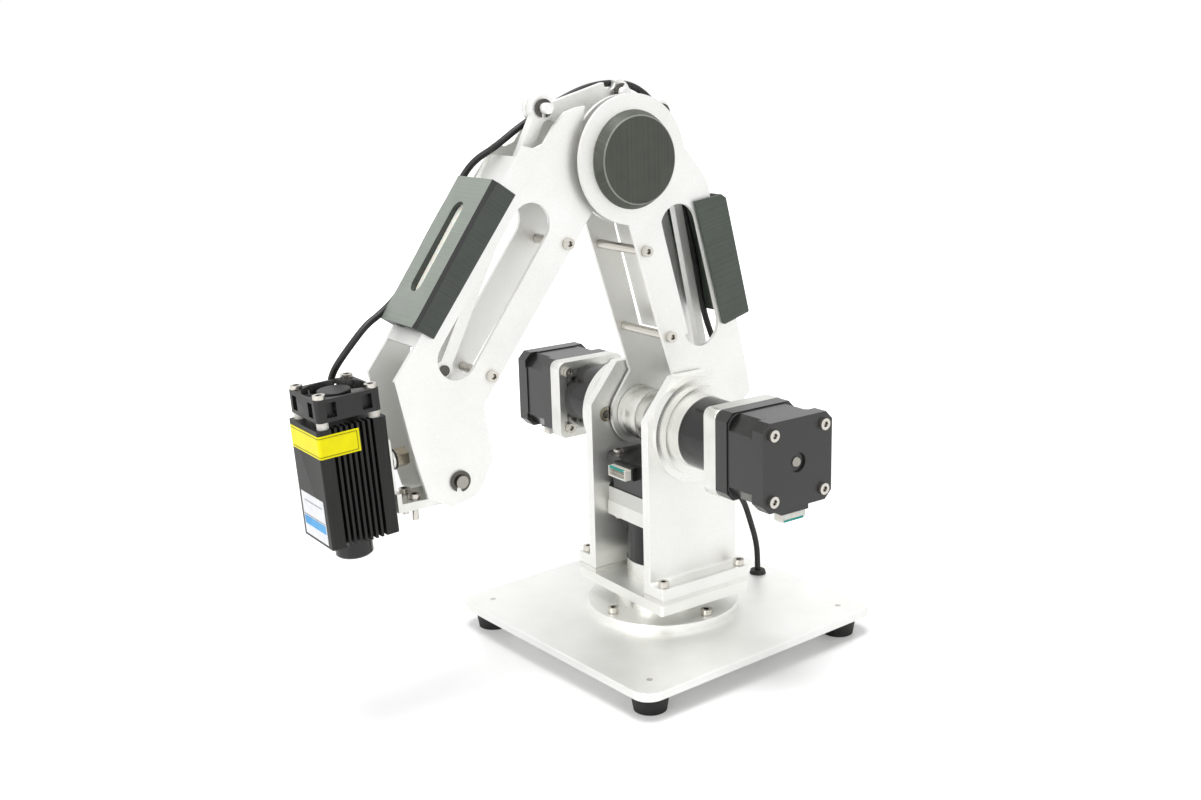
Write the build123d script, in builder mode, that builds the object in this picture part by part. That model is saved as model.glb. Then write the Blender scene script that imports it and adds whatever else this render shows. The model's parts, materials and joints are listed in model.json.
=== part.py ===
from build123d import *
import math
import os

# Small two-link robot arm with geared stepper motors, parallel level rods and a laser head.
# Millimetres. Z up, origin on the floor under the turning axis, +X the way the arm points.
# Both link plates lie in planes of constant Y, the near motor is on the +Y side.

# Base plate, feet and bearing
foot_h = 10.5
foot_top_r = 9.75
foot_low_r = 8.0
foot_pitch = 130.0
foot_bore_r = 3.6
foot_bore_h = 3.0
foot_recess_r = 3.2
foot_recess_h = 3.2
base_side = 157.0
base_t = 4.0
base_corner_r = 9.0
base_turn = 3.5
flange_r = 40.0
flange_t = 4.0
flange_screw_r = 34.0
hub_r = 25.0
hub_h = 7.2
yaw_shaft_r = 6.0
yaw_shaft_len = 22.0

# Fits and fasteners
run_gap = 0.05
turn_gap = 0.2
side_gap = 0.3
screw_r = 1.5
head_r = 2.75
head_h = 3.0
hex_r = 1.5

# Turntable and motor brackets
table_x = 57.0
table_y = 73.0
table_t = 5.5
table_corner_r = 1.5
shim_t = 2.5
bracket_in = 21.3
bracket_t = 5.3
bracket_foot_t = 6.0
bracket_x = 56.0
bracket_top_x = 22.0
bracket_side_h = 89.6
bracket_h = 110.3
bracket_hole_r = 9.0
bracket_bolt_x = 24.5
axis_h = 82.5

# Geared stepper motors
gear_r = 18.0
gear_len = 22.7
ring_r = 26.5
ring_t = 4.9
step_r = 22.5
step_t = 2.5
boss_r = 18.5
boss_t = 4.5
yaw_ring_t = 10.1
motor_side = 42.3
motor_corner = 4.0
motor_flange_t = 8.6
front_cap_t = 8.0
stack_t = 16.5
rear_cap_t = 8.4
yaw_flange_t = 7.6
yaw_front_t = 8.0
yaw_rear_t = 8.4
yaw_clear = 0.4
motor_head_h = 1.8
stack_inset = 0.6
motor_bolt = 15.5
motor_shaft_r = 2.5
output_r = 4.0
output_len = 14.0

# Lower arm, angles in the plane of the arm
link1 = 136.6
link1_deg = 78.1
drawn1 = 136.6
channel1_deg = 74.0
plate1_in = 18.0
plate_t = 2.0
shoulder_end_r = 17.0
elbow_disc_r = 30.3
cap_low_r = 23.2
cap_top_r = 20.5
cap_h = 5.5
elbow_shaft_r = 5.0
post_r = 2.25
cover_wall = 2.0

# Forearm
link2 = 169.3
link2_deg = -54.9
drawn2 = 169.3
plate2_in = 12.0
elbow2_r = 30.0
wrist_pin_r = 3.0

# Parallel linkage
crank_x = -28.0
crank_z = 20.0
rod_t = 4.0
eye_r = 6.0
pin_r = 2.5
rod1_y = 1.3
rod2_y = -11.7
crank_y = -7.0
crank_t = 4.0
drum_r = 14.0
tri_y = -2.5
tri_t = 3.5
rod_a_x = 40.3
rod_a_z = 25.0
rod_b_x = -6.5
rod_b_z = 30.3
upper_rod_len = 127.0
upper_rod_deg = -62.9
upper_rod_t = 5.0
open_pin_r = 1.5
open_hole_r = 4.7
lug_x = 1.35
lug_z = -1.45
lug_r = 8.0

# Wrist and laser head
wrist_hub_r = 7.0
wrist_half = 9.6
laser_x = 48.5
laser_y = 0.6
laser_drop = 17.1
laser_lean = 3.2
laser_w = 32.3
laser_d = 30.7
laser_h = 53.8
groove_count = 8
groove_pitch = 2.6
groove_w = 1.4
groove_deep = 5.0
lens_r = 8.5
lens_h = 10.0
fan_side = 30.0
fan_t = 10.0
fan_bolt = 12.0
fan_gap = 3.1
fan_bore_r = 13.9
fan_hub_r = 7.4
fan_blades = 7
blade_tilt = 34.0
blade_chord = 7.4

mount_gap = 3.3
shelf_x_in = 19.0
shelf_pitch = 10.0
mount_t = 2.5
mount_bolt_r = 2.0
mount_bolt_h = 28.3

# Cable
cable_r = 1.6
cable_pad = 0.05
grommet_x = -67.0
grommet_r = 4.6
grommet_neck_r = 3.2
grommet_lip = 2.0
clip_h = 5.0

# Heights of the base stack
z_plate = foot_h
z_flange = z_plate + base_t
z_hub = z_flange + flange_t
z_table = z_hub + hub_h + turn_gap
z_deck = z_table + table_t
z_foot = z_deck + shim_t
z_axis = z_foot + axis_h

# The yaw motor's stack fills what is left under the round end of the lower arm
yaw_below = z_deck + yaw_ring_t + gear_len + yaw_flange_t + yaw_front_t + yaw_rear_t
yaw_stack_t = z_axis - shoulder_end_r - yaw_clear - motor_head_h - yaw_below


def polar(origin, length, deg):
    """Point at a length and an angle from another, in the plane of the arm."""
    return (
        origin[0] + length * math.cos(math.radians(deg)),
        origin[1] + length * math.sin(math.radians(deg)),
    )


S = (0.0, z_axis)
E = polar(S, link1, link1_deg)
W = polar(E, link2, link2_deg)
C = (E[0] + crank_x, E[1] + crank_z)
D = (S[0] + crank_x, S[1] + crank_z)
A = (E[0] + rod_a_x, E[1] + rod_a_z)
B = (E[0] + rod_b_x, E[1] + rod_b_z)
V = polar(A, upper_rod_len, upper_rod_deg)

base_plane = Plane.XY.rotated((0, 0, base_turn))


def sized(points, length, drawn):
    """Outline points drawn for one link length, brought to another."""
    return [(x * length / drawn, y * length / drawn) for x, y in points]


def side(y):
    """Plane of constant Y whose sketch shows X to the right and Z up; it extrudes to -Y."""
    return Plane(origin=(0, y, 0), x_dir=(1, 0, 0), z_dir=(0, -1, 0))


def link_side(y, origin, deg):
    """The same with its own origin and with its first axis along a link."""
    turn = math.radians(deg)
    return Plane(
        origin=(origin[0], y, origin[1]),
        x_dir=(math.cos(turn), 0, math.sin(turn)),
        z_dir=(0, -1, 0),
    )


def disc(point, r, y0, y1, mode=Mode.ADD):
    """Round pin or hole across the arm, from y0 up to y1."""
    with BuildSketch(side(y1)) as face:
        with Locations(point):
            Circle(r)
    extrude(face.sketch, amount=y1 - y0, mode=mode)


def screw(plane, shank, head=head_h, radius=head_r, shaft=screw_r):
    """Socket-head screw seated on a plane, its head on the plane's outer side."""
    with BuildSketch(plane) as cap:
        Circle(radius)
    extrude(cap.sketch, amount=head)
    with BuildSketch(plane) as stem:
        Circle(shaft)
    extrude(stem.sketch, amount=-shank)
    with BuildSketch(plane.offset(head * 0.4)) as socket:
        RegularPolygon(hex_r, 6)
    extrude(socket.sketch, amount=head * 0.6, mode=Mode.SUBTRACT)


def ring_clip(point, shaft, y0, t, outer, prong_deg):
    """Open retaining ring on a pin, its gap turned to prong_deg."""
    gap = polar(point, outer, prong_deg)
    with BuildSketch(side(y0 + t)) as ring:
        with Locations(point):
            Circle(outer)
            Circle(shaft, mode=Mode.SUBTRACT)
        with Locations(Location((gap[0], gap[1], 0), (0, 0, prong_deg))):
            Rectangle(outer * 1.4, shaft * 1.1, mode=Mode.SUBTRACT)
    extrude(ring.sketch, amount=t)


def keep(part, label):
    """Names a finished part and writes its file."""
    part.label = label
    export_step(part, "parts/" + label + ".step")


os.makedirs("parts", exist_ok=True)

# Base plate: square with round corners, holes for the four feet
with BuildPart() as base_plate:
    with BuildSketch(base_plane.offset(z_plate)):
        RectangleRounded(base_side, base_side, base_corner_r)
        with GridLocations(foot_pitch, foot_pitch, 2, 2):
            Circle(screw_r + run_gap, mode=Mode.SUBTRACT)
        with PolarLocations(flange_screw_r, 4):
            Circle(screw_r + run_gap, mode=Mode.SUBTRACT)
    extrude(amount=base_t)
    with BuildSketch(Plane.XY.offset(z_plate)):
        with Locations((grommet_x, 0)):
            Circle(grommet_neck_r)
    extrude(amount=base_t, mode=Mode.SUBTRACT)
    fillet(base_plate.faces().sort_by(Axis.Z)[-1].outer_wire().edges(), 0.5)
keep(base_plate.part, "base_plate")

# Rubber feet: tapered, each with a bore below and a recess for its screw head
with BuildPart() as rubber_feet:
    with BuildSketch(base_plane):
        with GridLocations(foot_pitch, foot_pitch, 2, 2):
            Circle(foot_low_r)
    extrude(amount=foot_h, taper=-math.degrees(math.atan((foot_top_r - foot_low_r) / foot_h)))
    with BuildSketch(base_plane):
        with GridLocations(foot_pitch, foot_pitch, 2, 2):
            Circle(foot_bore_r)
    extrude(amount=foot_bore_h, mode=Mode.SUBTRACT)
    with BuildSketch(base_plane.offset(foot_bore_h)):
        with GridLocations(foot_pitch, foot_pitch, 2, 2):
            Circle(foot_recess_r)
    extrude(amount=foot_recess_h, mode=Mode.SUBTRACT)
    with BuildSketch(base_plane.offset(foot_bore_h)):
        with GridLocations(foot_pitch, foot_pitch, 2, 2):
            Circle(screw_r + run_gap)
    extrude(amount=foot_h, mode=Mode.SUBTRACT)
keep(rubber_feet.part, "rubber_feet")

# Screws of the feet, up through the plate, and of the bearing flange
with BuildPart() as base_screws:
    for spot in GridLocations(foot_pitch, foot_pitch, 2, 2):
        x, y = spot.position.X, spot.position.Y
        seat = foot_bore_h + foot_recess_h
        down = Plane(
            origin=base_plane.from_local_coords((x, y, seat)),
            z_dir=(0, 0, -1),
        )
        screw(down, z_flange - seat, head=2.6)
    for spot in PolarLocations(flange_screw_r, 4):
        x, y = spot.position.X, spot.position.Y
        up = Plane(origin=base_plane.from_local_coords((x, y, z_hub)), z_dir=(0, 0, 1))
        screw(up, z_hub - z_plate)
keep(base_screws.part, "base_screws")

# Bearing flange on the plate
with BuildPart() as base_flange:
    with BuildSketch(base_plane.offset(z_flange)):
        Circle(flange_r)
        with PolarLocations(flange_screw_r, 4):
            Circle(screw_r + run_gap, mode=Mode.SUBTRACT)
    extrude(amount=flange_t)
    fillet(base_flange.faces().sort_by(Axis.Z)[-1].outer_wire().edges(), 0.5)
keep(base_flange.part, "base_flange")

# Bearing housing with the fixed shaft that the turntable's gearbox walks round
with BuildPart() as base_hub:
    with BuildSketch(Plane.XY.offset(z_hub)):
        Circle(hub_r)
    extrude(amount=hub_h)
    chamfer(base_hub.faces().sort_by(Axis.Z)[-1].edges(), 0.6)
    with BuildSketch(Plane.XY.offset(z_hub + hub_h)):
        Circle(yaw_shaft_r)
    extrude(amount=yaw_shaft_len)
    chamfer(base_hub.faces().sort_by(Axis.Z)[-1].edges(), 0.5)
keep(base_hub.part, "base_hub")

# Rubber grommet where the cable goes down through the plate
with BuildPart() as cable_grommet:
    with BuildSketch(Plane.XZ):
        with BuildLine():
            Polyline(
                (grommet_x + cable_r + cable_pad, z_plate - grommet_lip),
                (grommet_x + grommet_r, z_plate - grommet_lip),
                (grommet_x + grommet_r, z_plate),
                (grommet_x + grommet_neck_r, z_plate),
                (grommet_x + grommet_neck_r, z_flange),
                (grommet_x + grommet_r, z_flange),
                (grommet_x + grommet_r - 0.6, z_flange + grommet_lip),
                (grommet_x + cable_r + cable_pad, z_flange + grommet_lip),
                close=True,
            )
        make_face()
    revolve(axis=Axis((grommet_x, 0, 0), (0, 0, 1)))
keep(cable_grommet.part, "cable_grommet")

# Turntable plate
bolt_y = table_y / 2 - 3.5
with BuildPart() as turntable_plate:
    with BuildSketch(Plane.XY.offset(z_table)):
        RectangleRounded(table_x, table_y, table_corner_r)
        Circle(yaw_shaft_r + run_gap, mode=Mode.SUBTRACT)
        with GridLocations(2 * bracket_bolt_x, 2 * bolt_y, 2, 2):
            Circle(screw_r + run_gap, mode=Mode.SUBTRACT)
    extrude(amount=table_t)
keep(turntable_plate.part, "turntable_plate")

# Shims under the bracket feet
foot_out = table_y / 2
with BuildPart() as bracket_shims:
    with BuildSketch(Plane.XY.offset(z_deck)):
        with GridLocations(1, bracket_in + foot_out, 1, 2):
            Rectangle(bracket_x, foot_out - bracket_in)
        with GridLocations(2 * bracket_bolt_x, 2 * bolt_y, 2, 2):
            Circle(screw_r + run_gap, mode=Mode.SUBTRACT)
    extrude(amount=shim_t)
keep(bracket_shims.part, "bracket_shims")

# Motor brackets: an upright wall with a chamfered top and a foot turned outwards
half = bracket_x / 2
with BuildPart() as near_bracket:
    with BuildSketch(side(bracket_in + bracket_t)):
        with BuildLine():
            Polyline(
                (-half, z_foot),
                (half, z_foot),
                (half, z_foot + bracket_side_h),
                (bracket_top_x / 2, z_foot + bracket_h),
                (-bracket_top_x / 2, z_foot + bracket_h),
                (-half, z_foot + bracket_side_h),
                close=True,
            )
        make_face()
    extrude(amount=bracket_t)
    with BuildSketch(Plane.XY.offset(z_foot)):
        with Locations((0, (bracket_in + foot_out) / 2)):
            Rectangle(bracket_x, foot_out - bracket_in)
    extrude(amount=bracket_foot_t)
    inner = near_bracket.edges().filter_by(Axis.X).filter_by(
        lambda e: abs(e.center().Y - bracket_in - bracket_t) < 0.01
        and abs(e.center().Z - z_foot - bracket_foot_t) < 0.01
    )
    fillet(inner, 1.5)
    disc(S, bracket_hole_r, bracket_in - 1, bracket_in + bracket_t + 1, Mode.SUBTRACT)
    with BuildSketch(Plane.XY.offset(z_foot)):
        with GridLocations(2 * bracket_bolt_x, 2 * bolt_y, 2, 2):
            Circle(screw_r + run_gap)
    extrude(amount=bracket_foot_t, mode=Mode.SUBTRACT)
keep(near_bracket.part, "near_bracket")

with BuildPart() as far_bracket:
    mirror(near_bracket.part, about=Plane.XZ)
keep(far_bracket.part, "far_bracket")

# Screws of the bracket feet, and a washer-head screw high on each wall
with BuildPart() as turntable_screws:
    for spot in GridLocations(2 * bracket_bolt_x, 2 * bolt_y, 2, 2):
        x, y = spot.position.X, spot.position.Y
        up = Plane(origin=(x, y, z_foot + bracket_foot_t), z_dir=(0, 0, 1))
        screw(up, z_foot + bracket_foot_t - z_table)
keep(turntable_screws.part, "turntable_screws")

# Silver adapters between bracket and gearbox, stepped rings
ring_y = bracket_in + bracket_t
step_y = ring_y + ring_t
boss_y = step_y + step_t
gear_y = boss_y + boss_t
gear_z = z_deck + yaw_ring_t
with BuildPart() as near_ring:
    disc(S, ring_r, ring_y, step_y)
    disc(S, step_r, step_y, boss_y)
    disc(S, boss_r, boss_y, gear_y)
    disc(S, bracket_hole_r, ring_y, boss_y, Mode.SUBTRACT)
    disc(S, output_r + 1, boss_y, gear_y, Mode.SUBTRACT)
with BuildPart() as motor_adapters:
    add(near_ring.part)
    mirror(near_ring.part, about=Plane.XZ)
    with BuildSketch(Plane.XY.offset(z_deck)):
        Circle(boss_r)
    extrude(amount=yaw_ring_t)
    with BuildSketch(Plane.XY.offset(z_deck)):
        Circle(yaw_shaft_r + run_gap)
    extrude(amount=yaw_ring_t, mode=Mode.SUBTRACT)
keep(motor_adapters.part, "motor_adapters")

# Motor frames: first axis of each is the gearbox axis, pointing to the rear cap
near_motor = Plane(origin=(S[0], gear_y, S[1]), x_dir=(1, 0, 0), z_dir=(0, 1, 0))
far_motor = Plane(origin=(S[0], -gear_y, S[1]), x_dir=(-1, 0, 0), z_dir=(0, -1, 0))
yaw_motor = Plane(origin=(0, 0, gear_z), x_dir=(0, -1, 0), z_dir=(0, 0, 1))
motors = (
    (near_motor, output_r, output_len, motor_flange_t, front_cap_t, stack_t, rear_cap_t),
    (far_motor, output_r, output_len, motor_flange_t, front_cap_t, stack_t, rear_cap_t),
    (yaw_motor, yaw_shaft_r, 13.0, yaw_flange_t, yaw_front_t, yaw_stack_t, yaw_rear_t),
)

# Black gearbox barrels, bored for the output shaft below and the motor shaft above
with BuildPart() as gearboxes:
    for plane, bore, deep, flange, front, stack, rear in motors:
        with BuildSketch(plane):
            Circle(gear_r)
        extrude(amount=gear_len)
        with BuildSketch(plane):
            Circle(bore + run_gap)
        extrude(amount=deep, mode=Mode.SUBTRACT)
        with BuildSketch(plane.offset(gear_len)):
            Circle(motor_shaft_r + run_gap)
        extrude(amount=-(gear_len - deep - 2), mode=Mode.SUBTRACT)
keep(gearboxes.part, "gearboxes")

# Square silver flanges between gearbox and motor
with BuildPart() as gearbox_flanges:
    for plane, bore, deep, flange, front, stack, rear in motors:
        with BuildSketch(plane.offset(gear_len)):
            RectangleRounded(motor_side, motor_side, motor_corner)
            Circle(motor_shaft_r + 2, mode=Mode.SUBTRACT)
            with GridLocations(2 * motor_bolt, 2 * motor_bolt, 2, 2):
                Circle(screw_r + run_gap, mode=Mode.SUBTRACT)
        extrude(amount=flange)
keep(gearbox_flanges.part, "gearbox_flanges")


def motor(plane, flange, front, stack, rear, tab):
    """End caps and lamination stack of one motor, with the plug seat on one side."""
    z0 = gear_len + flange
    z1 = z0 + front
    z2 = z1 + stack
    z3 = z2 + rear
    with BuildPart() as body:
        for low, high in ((z0, z1), (z2, z3)):
            with BuildSketch(plane.offset(low)) as cap:
                Rectangle(motor_side, motor_side)
                chamfer(cap.vertices(), motor_corner)
            extrude(amount=high - low)
        with BuildSketch(plane.offset(z1)):
            RectangleRounded(motor_side - 2 * stack_inset, motor_side - 2 * stack_inset, 6.5)
        extrude(amount=stack)
        with BuildSketch(plane.offset(z3 - rear)):
            with Locations((0, motor_side / 2 + tab / 2)):
                Rectangle(16.5, tab)
        extrude(amount=rear - 1.5)
        with BuildSketch(plane.offset(z0)):
            Circle(motor_shaft_r + 1.5)
        extrude(amount=z3 - z0 - 1.5, mode=Mode.SUBTRACT)
        with BuildSketch(plane.offset(z3)):
            Circle(motor_shaft_r + run_gap)
        extrude(amount=-(rear), mode=Mode.SUBTRACT)
        with BuildSketch(plane.offset(z3)):
            Circle(motor_shaft_r + 2.2)
        extrude(amount=-1.2, mode=Mode.SUBTRACT)
        with BuildSketch(plane.offset(z3)):
            with GridLocations(2 * motor_bolt, 2 * motor_bolt, 2, 2):
                Circle(screw_r + run_gap)
        extrude(amount=-rear, mode=Mode.SUBTRACT)
        with BuildSketch(plane.offset(z0)):
            with GridLocations(2 * motor_bolt, 2 * motor_bolt, 2, 2):
                Circle(screw_r + run_gap)
        extrude(amount=front - 1, mode=Mode.SUBTRACT)
    return body.part


near_body = motor(near_motor, motor_flange_t, front_cap_t, stack_t, rear_cap_t, 3.0)
keep(near_body, "near_motor")
far_body = motor(far_motor, motor_flange_t, front_cap_t, stack_t, rear_cap_t, 3.0)
keep(far_body, "far_motor")
yaw_body = motor(yaw_motor, yaw_flange_t, yaw_front_t, yaw_stack_t, yaw_rear_t, 3.0)
keep(yaw_body, "yaw_motor")

# Plug sockets on the rear caps
with BuildPart() as motor_connectors:
    for plane, bore, deep, flange, front, stack, rear in motors:
        z3 = gear_len + flange + front + stack + rear
        with BuildSketch(plane.offset(z3 - rear + 0.5)):
            with Locations((0, motor_side / 2 + 3.0 + 2.0)):
                Rectangle(14.5, 4.0)
        extrude(amount=rear - 3.0)
keep(motor_connectors.part, "motor_connectors")

# Screws at both ends of each motor
with BuildPart() as motor_screws:
    for plane, bore, deep, flange, front, stack, rear in motors:
        z3 = gear_len + flange + front + stack + rear
        for spot in GridLocations(2 * motor_bolt, 2 * motor_bolt, 2, 2):
            x, y = spot.position.X, spot.position.Y
            back = Plane(
                origin=plane.from_local_coords((x, y, z3)), x_dir=plane.x_dir, z_dir=plane.z_dir
            )
            screw(back, rear - 1, head=motor_head_h)
            front_seat = Plane(
                origin=plane.from_local_coords((x, y, gear_len)),
                x_dir=plane.x_dir,
                z_dir=-plane.z_dir,
            )
            screw(front_seat, flange + front - 3, head=2.4)
keep(motor_screws.part, "motor_screws")


def rotor(plane, deep, length):
    """Motor shaft from the gearbox to the rear cap."""
    with BuildPart() as shaft:
        with BuildSketch(plane.offset(deep)):
            Circle(motor_shaft_r)
        extrude(amount=length - deep)
        chamfer(shaft.faces().sort_by(Axis(plane.origin, plane.z_dir))[-1].edges(), 0.4)
    return shaft.part


long_end = gear_len + motor_flange_t + front_cap_t + stack_t + rear_cap_t - 0.4
short_end = gear_len + yaw_flange_t + yaw_front_t + yaw_stack_t + yaw_rear_t - 0.4
keep(rotor(near_motor, output_len + 3, long_end), "near_motor_shaft")
keep(rotor(far_motor, output_len + 3, long_end), "far_motor_shaft")
keep(rotor(yaw_motor, 13.0 + 3, short_end), "yaw_motor_shaft")

# Level post behind the yaw motor: carries the fixed pin of the level rod
post_y0 = rod1_y + rod_t + side_gap
post_y1 = post_y0 + 4.0
clip_x = -30.2
clip_y = (post_y0 + post_y1) / 2
clip_z = z_deck + 66.0
with BuildPart() as level_post:
    with BuildSketch(side(post_y1)):
        with BuildLine():
            Polyline(
                (-28.3, z_deck),
                (-22.0, z_deck),
                (-22.0, z_deck + 68),
                (D[0] + eye_r - 0.5, D[1]),
                (D[0] - eye_r, D[1]),
                (-28.3, z_deck + 90),
                close=True,
            )
        make_face()
        with Locations(D):
            Circle(eye_r + 0.5)
    extrude(amount=post_y1 - post_y0)
    with BuildSketch(Plane.XY.offset(z_deck)):
        with Locations((-25.15, post_y1 + 4)):
            Rectangle(6.3, 8.0)
    extrude(amount=3.0)
    disc(D, pin_r, rod1_y - side_gap, post_y0)
    disc(D, pin_r + 1.5, rod1_y - side_gap - 1.2, rod1_y - side_gap)
    with BuildSketch(Plane.XY.offset(clip_z)):
        with Locations((clip_x - 0.3, clip_y)):
            Rectangle(4.4, 6.0)
        with Locations((clip_x, clip_y)):
            Circle(cable_r + cable_pad, mode=Mode.SUBTRACT)
    extrude(amount=clip_h)
keep(level_post.part, "level_post")

# Lower arm plates. Points along the link from the shoulder and back from it
arm1_near = link_side(plate1_in + plate_t, S, link1_deg)
arm1_far = link_side(-plate1_in, S, link1_deg)
slot1_lean = channel1_deg - link1_deg
posts1 = sized(((92.6, -2.8), (47.2, 1.8)), link1, drawn1)


def tangent(point, r, turn):
    """Touching point on a round end at the origin, of a line from a point."""
    far = math.hypot(point[0], point[1])
    aim = math.degrees(math.atan2(point[1], point[0]))
    return polar((0, 0), r, aim + turn * math.degrees(math.acos(r / far)))


def lower_plate(plane, hole_r):
    """One side plate of the lower arm."""
    neck, knee, chin, nape, back, heel, tail = sized(
        (
            (23.0, 0.0),
            (50.9, -3.2),
            (109.1, -8.8),
            (115.6, 40.5),
            (22.7, 45.2),
            (1.8, 45.2),
            (-1.3, 40.1),
        ),
        link1,
        drawn1,
    )
    slot = sized(((72.5, 20.3), (73.5, 22.0)), link1, drawn1)
    with BuildPart() as plate:
        with BuildSketch(plane):
            with BuildLine():
                Polyline(
                    tangent(neck, shoulder_end_r, -1),
                    neck,
                    knee,
                    chin,
                    (link1, -elbow_disc_r + 6),
                    (link1, elbow_disc_r - 1),
                    nape,
                    back,
                    heel,
                    tail,
                    tangent(tail, shoulder_end_r, 1),
                    close=True,
                )
            make_face()
            Circle(shoulder_end_r)
            with Locations((link1, 0)):
                Circle(elbow_disc_r)
                Circle(elbow_shaft_r + run_gap, mode=Mode.SUBTRACT)
            Circle(hole_r, mode=Mode.SUBTRACT)
            with Locations(Location((*slot[0], 0), (0, 0, slot1_lean + 0.9))):
                SlotOverall(*slot[1], mode=Mode.SUBTRACT)
            with Locations(*posts1):
                Circle(screw_r + run_gap, mode=Mode.SUBTRACT)
        extrude(amount=plate_t)
    return plate.part


keep(lower_plate(arm1_near, output_r + run_gap), "lower_near_plate")
keep(lower_plate(arm1_far, output_r + run_gap), "lower_far_plate")

# Web between the plates, set back from their front edges
with BuildPart() as lower_web:
    with BuildSketch(link_side(plate1_in, S, link1_deg)):
        with BuildLine():
            Polyline(
                *sized(((44.3, 12.4), (106.5, 8.2)), link1, drawn1),
                *sized(((106.5, 10.2), (44.3, 14.4)), link1, drawn1),
                close=True,
            )
        make_face()
    extrude(amount=2 * plate1_in)
keep(lower_web.part, "lower_web")

# Spacer posts of the lower arm with their screws
with BuildPart() as lower_standoffs:
    for at in posts1:
        spot = link_side(plate1_in, S, link1_deg)
        with BuildSketch(spot):
            with Locations(at):
                Circle(post_r)
        extrude(amount=2 * plate1_in)
        for y, out in ((plate1_in + plate_t, 1), (-plate1_in - plate_t, -1)):
            place = link_side(y, S, link1_deg).from_local_coords((at[0], at[1], 0))
            head = Plane(origin=(place.X, y, place.Z), z_dir=(0, out, 0))
            screw(head, plate_t, head=2.2)
keep(lower_standoffs.part, "lower_standoffs")


# Rear cover of the lower arm, over the plates' rear edges
with BuildPart() as lower_cover:
    with BuildSketch(link_side(plate1_in + plate_t + cover_wall, S, link1_deg)):
        with BuildLine():
            Polyline(
                *sized(((42.2, 34.5), (107.7, 29.8), (106.3, 46.8)), link1, drawn1),
                *sized(((104.0, 49.2), (43.3, 51.8)), link1, drawn1),
                close=True,
            )
        make_face()
    extrude(amount=2 * (plate1_in + plate_t + cover_wall))
    with BuildSketch(link_side(plate1_in + plate_t, S, link1_deg)):
        with BuildLine():
            Polyline(
                *sized(((40.0, 30.0), (110.0, 25.0)), link1, drawn1),
                *sized(((110.0, 45.6), (40.0, 45.6)), link1, drawn1),
                close=True,
            )
        make_face()
    extrude(amount=2 * (plate1_in + plate_t), mode=Mode.SUBTRACT)
keep(lower_cover.part, "lower_cover")

# Elbow shaft with the collars that hold the plates apart
with BuildPart() as elbow_shaft:
    disc(E, elbow_shaft_r, -plate1_in - plate_t, plate1_in + plate_t)
    for a, b in ((plate2_in + plate_t + side_gap, plate1_in), (-plate1_in, -plate2_in - plate_t - side_gap)):
        disc(E, elbow_shaft_r + 4, a, b)
keep(elbow_shaft.part, "elbow_shaft")

# Round black caps over the elbow, tapered, on both plates
with BuildPart() as elbow_caps:
    for out in (1, -1):
        seat = Plane(origin=(E[0], out * (plate1_in + plate_t), E[1]), z_dir=(0, out, 0))
        with BuildSketch(seat):
            Circle(cap_low_r)
        extrude(amount=cap_h, taper=math.degrees(math.atan((cap_low_r - cap_top_r) / cap_h)))
keep(elbow_caps.part, "elbow_caps")

# Near shoulder hub: output shaft of the near gearbox with a clamping disc
with BuildPart() as shoulder_hub:
    disc(S, output_r, plate1_in - 6, gear_y + output_len - 1)
    disc(S, drum_r, plate1_in - 6, plate1_in)
keep(shoulder_hub.part, "shoulder_hub")

# Crank on the far gearbox shaft: stepped drum and an arm to the drive rod
with BuildPart() as crank_hub:
    disc(S, output_r, -gear_y - output_len + 1, -plate1_in + side_gap)
    disc(S, drum_r, -plate1_in + side_gap, -plate1_in + 4.2)
    disc(S, drum_r - 1, -plate1_in + 4.2, crank_y)
    with BuildSketch(side(crank_y + crank_t)):
        with Locations(S):
            Circle(drum_r)
        with Locations(D):
            Circle(eye_r)
        with BuildLine():
            Polyline(
                polar(S, drum_r - 2, 144.5 + 90),
                polar(S, drum_r - 2, 144.5 - 90),
                polar(D, eye_r - 0.3, 144.5 - 90),
                polar(D, eye_r - 0.3, 144.5 + 90),
                close=True,
            )
        make_face()
        with Locations(D):
            Circle(pin_r + run_gap, mode=Mode.SUBTRACT)
    extrude(amount=crank_t)
    disc(S, drum_r - 3, crank_y + crank_t, crank_y + crank_t + 3)
keep(crank_hub.part, "crank_hub")

# Crank pin: stays level while the crank turns about it
with BuildPart() as crank_pin:
    disc(D, pin_r, rod2_y - 0.3, crank_y + crank_t + 0.3)
    disc(D, pin_r + 1.5, crank_y + crank_t + 0.3, crank_y + crank_t + 1.3)
    disc(D, pin_r + 1.5, rod2_y - 1.3, rod2_y - 0.3)
keep(crank_pin.part, "crank_pin")


def rod(p, q, y0, t, r_p, r_q, width, bore_p, bore_q):
    """Flat bar with round eyes."""
    deg = math.degrees(math.atan2(q[1] - p[1], q[0] - p[0]))
    with BuildPart() as bar:
        with BuildSketch(side(y0 + t)):
            with BuildLine():
                Polyline(
                    polar(p, width / 2, deg + 90),
                    polar(p, width / 2, deg - 90),
                    polar(q, width / 2, deg - 90),
                    polar(q, width / 2, deg + 90),
                    close=True,
                )
            make_face()
            with Locations(p):
                Circle(r_p)
                Circle(bore_p, mode=Mode.SUBTRACT)
            with Locations(q):
                Circle(r_q)
                if bore_q:
                    Circle(bore_q, mode=Mode.SUBTRACT)
        extrude(amount=t)
    return bar.part


pin_bore = pin_r + run_gap
keep(rod(D, C, rod2_y, rod_t + 0.2, eye_r, eye_r, 5.0, pin_bore, pin_bore), "drive_rod")
keep(rod(D, C, rod1_y, rod_t, eye_r, eye_r, 5.0, pin_bore, pin_bore), "level_rod")

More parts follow.
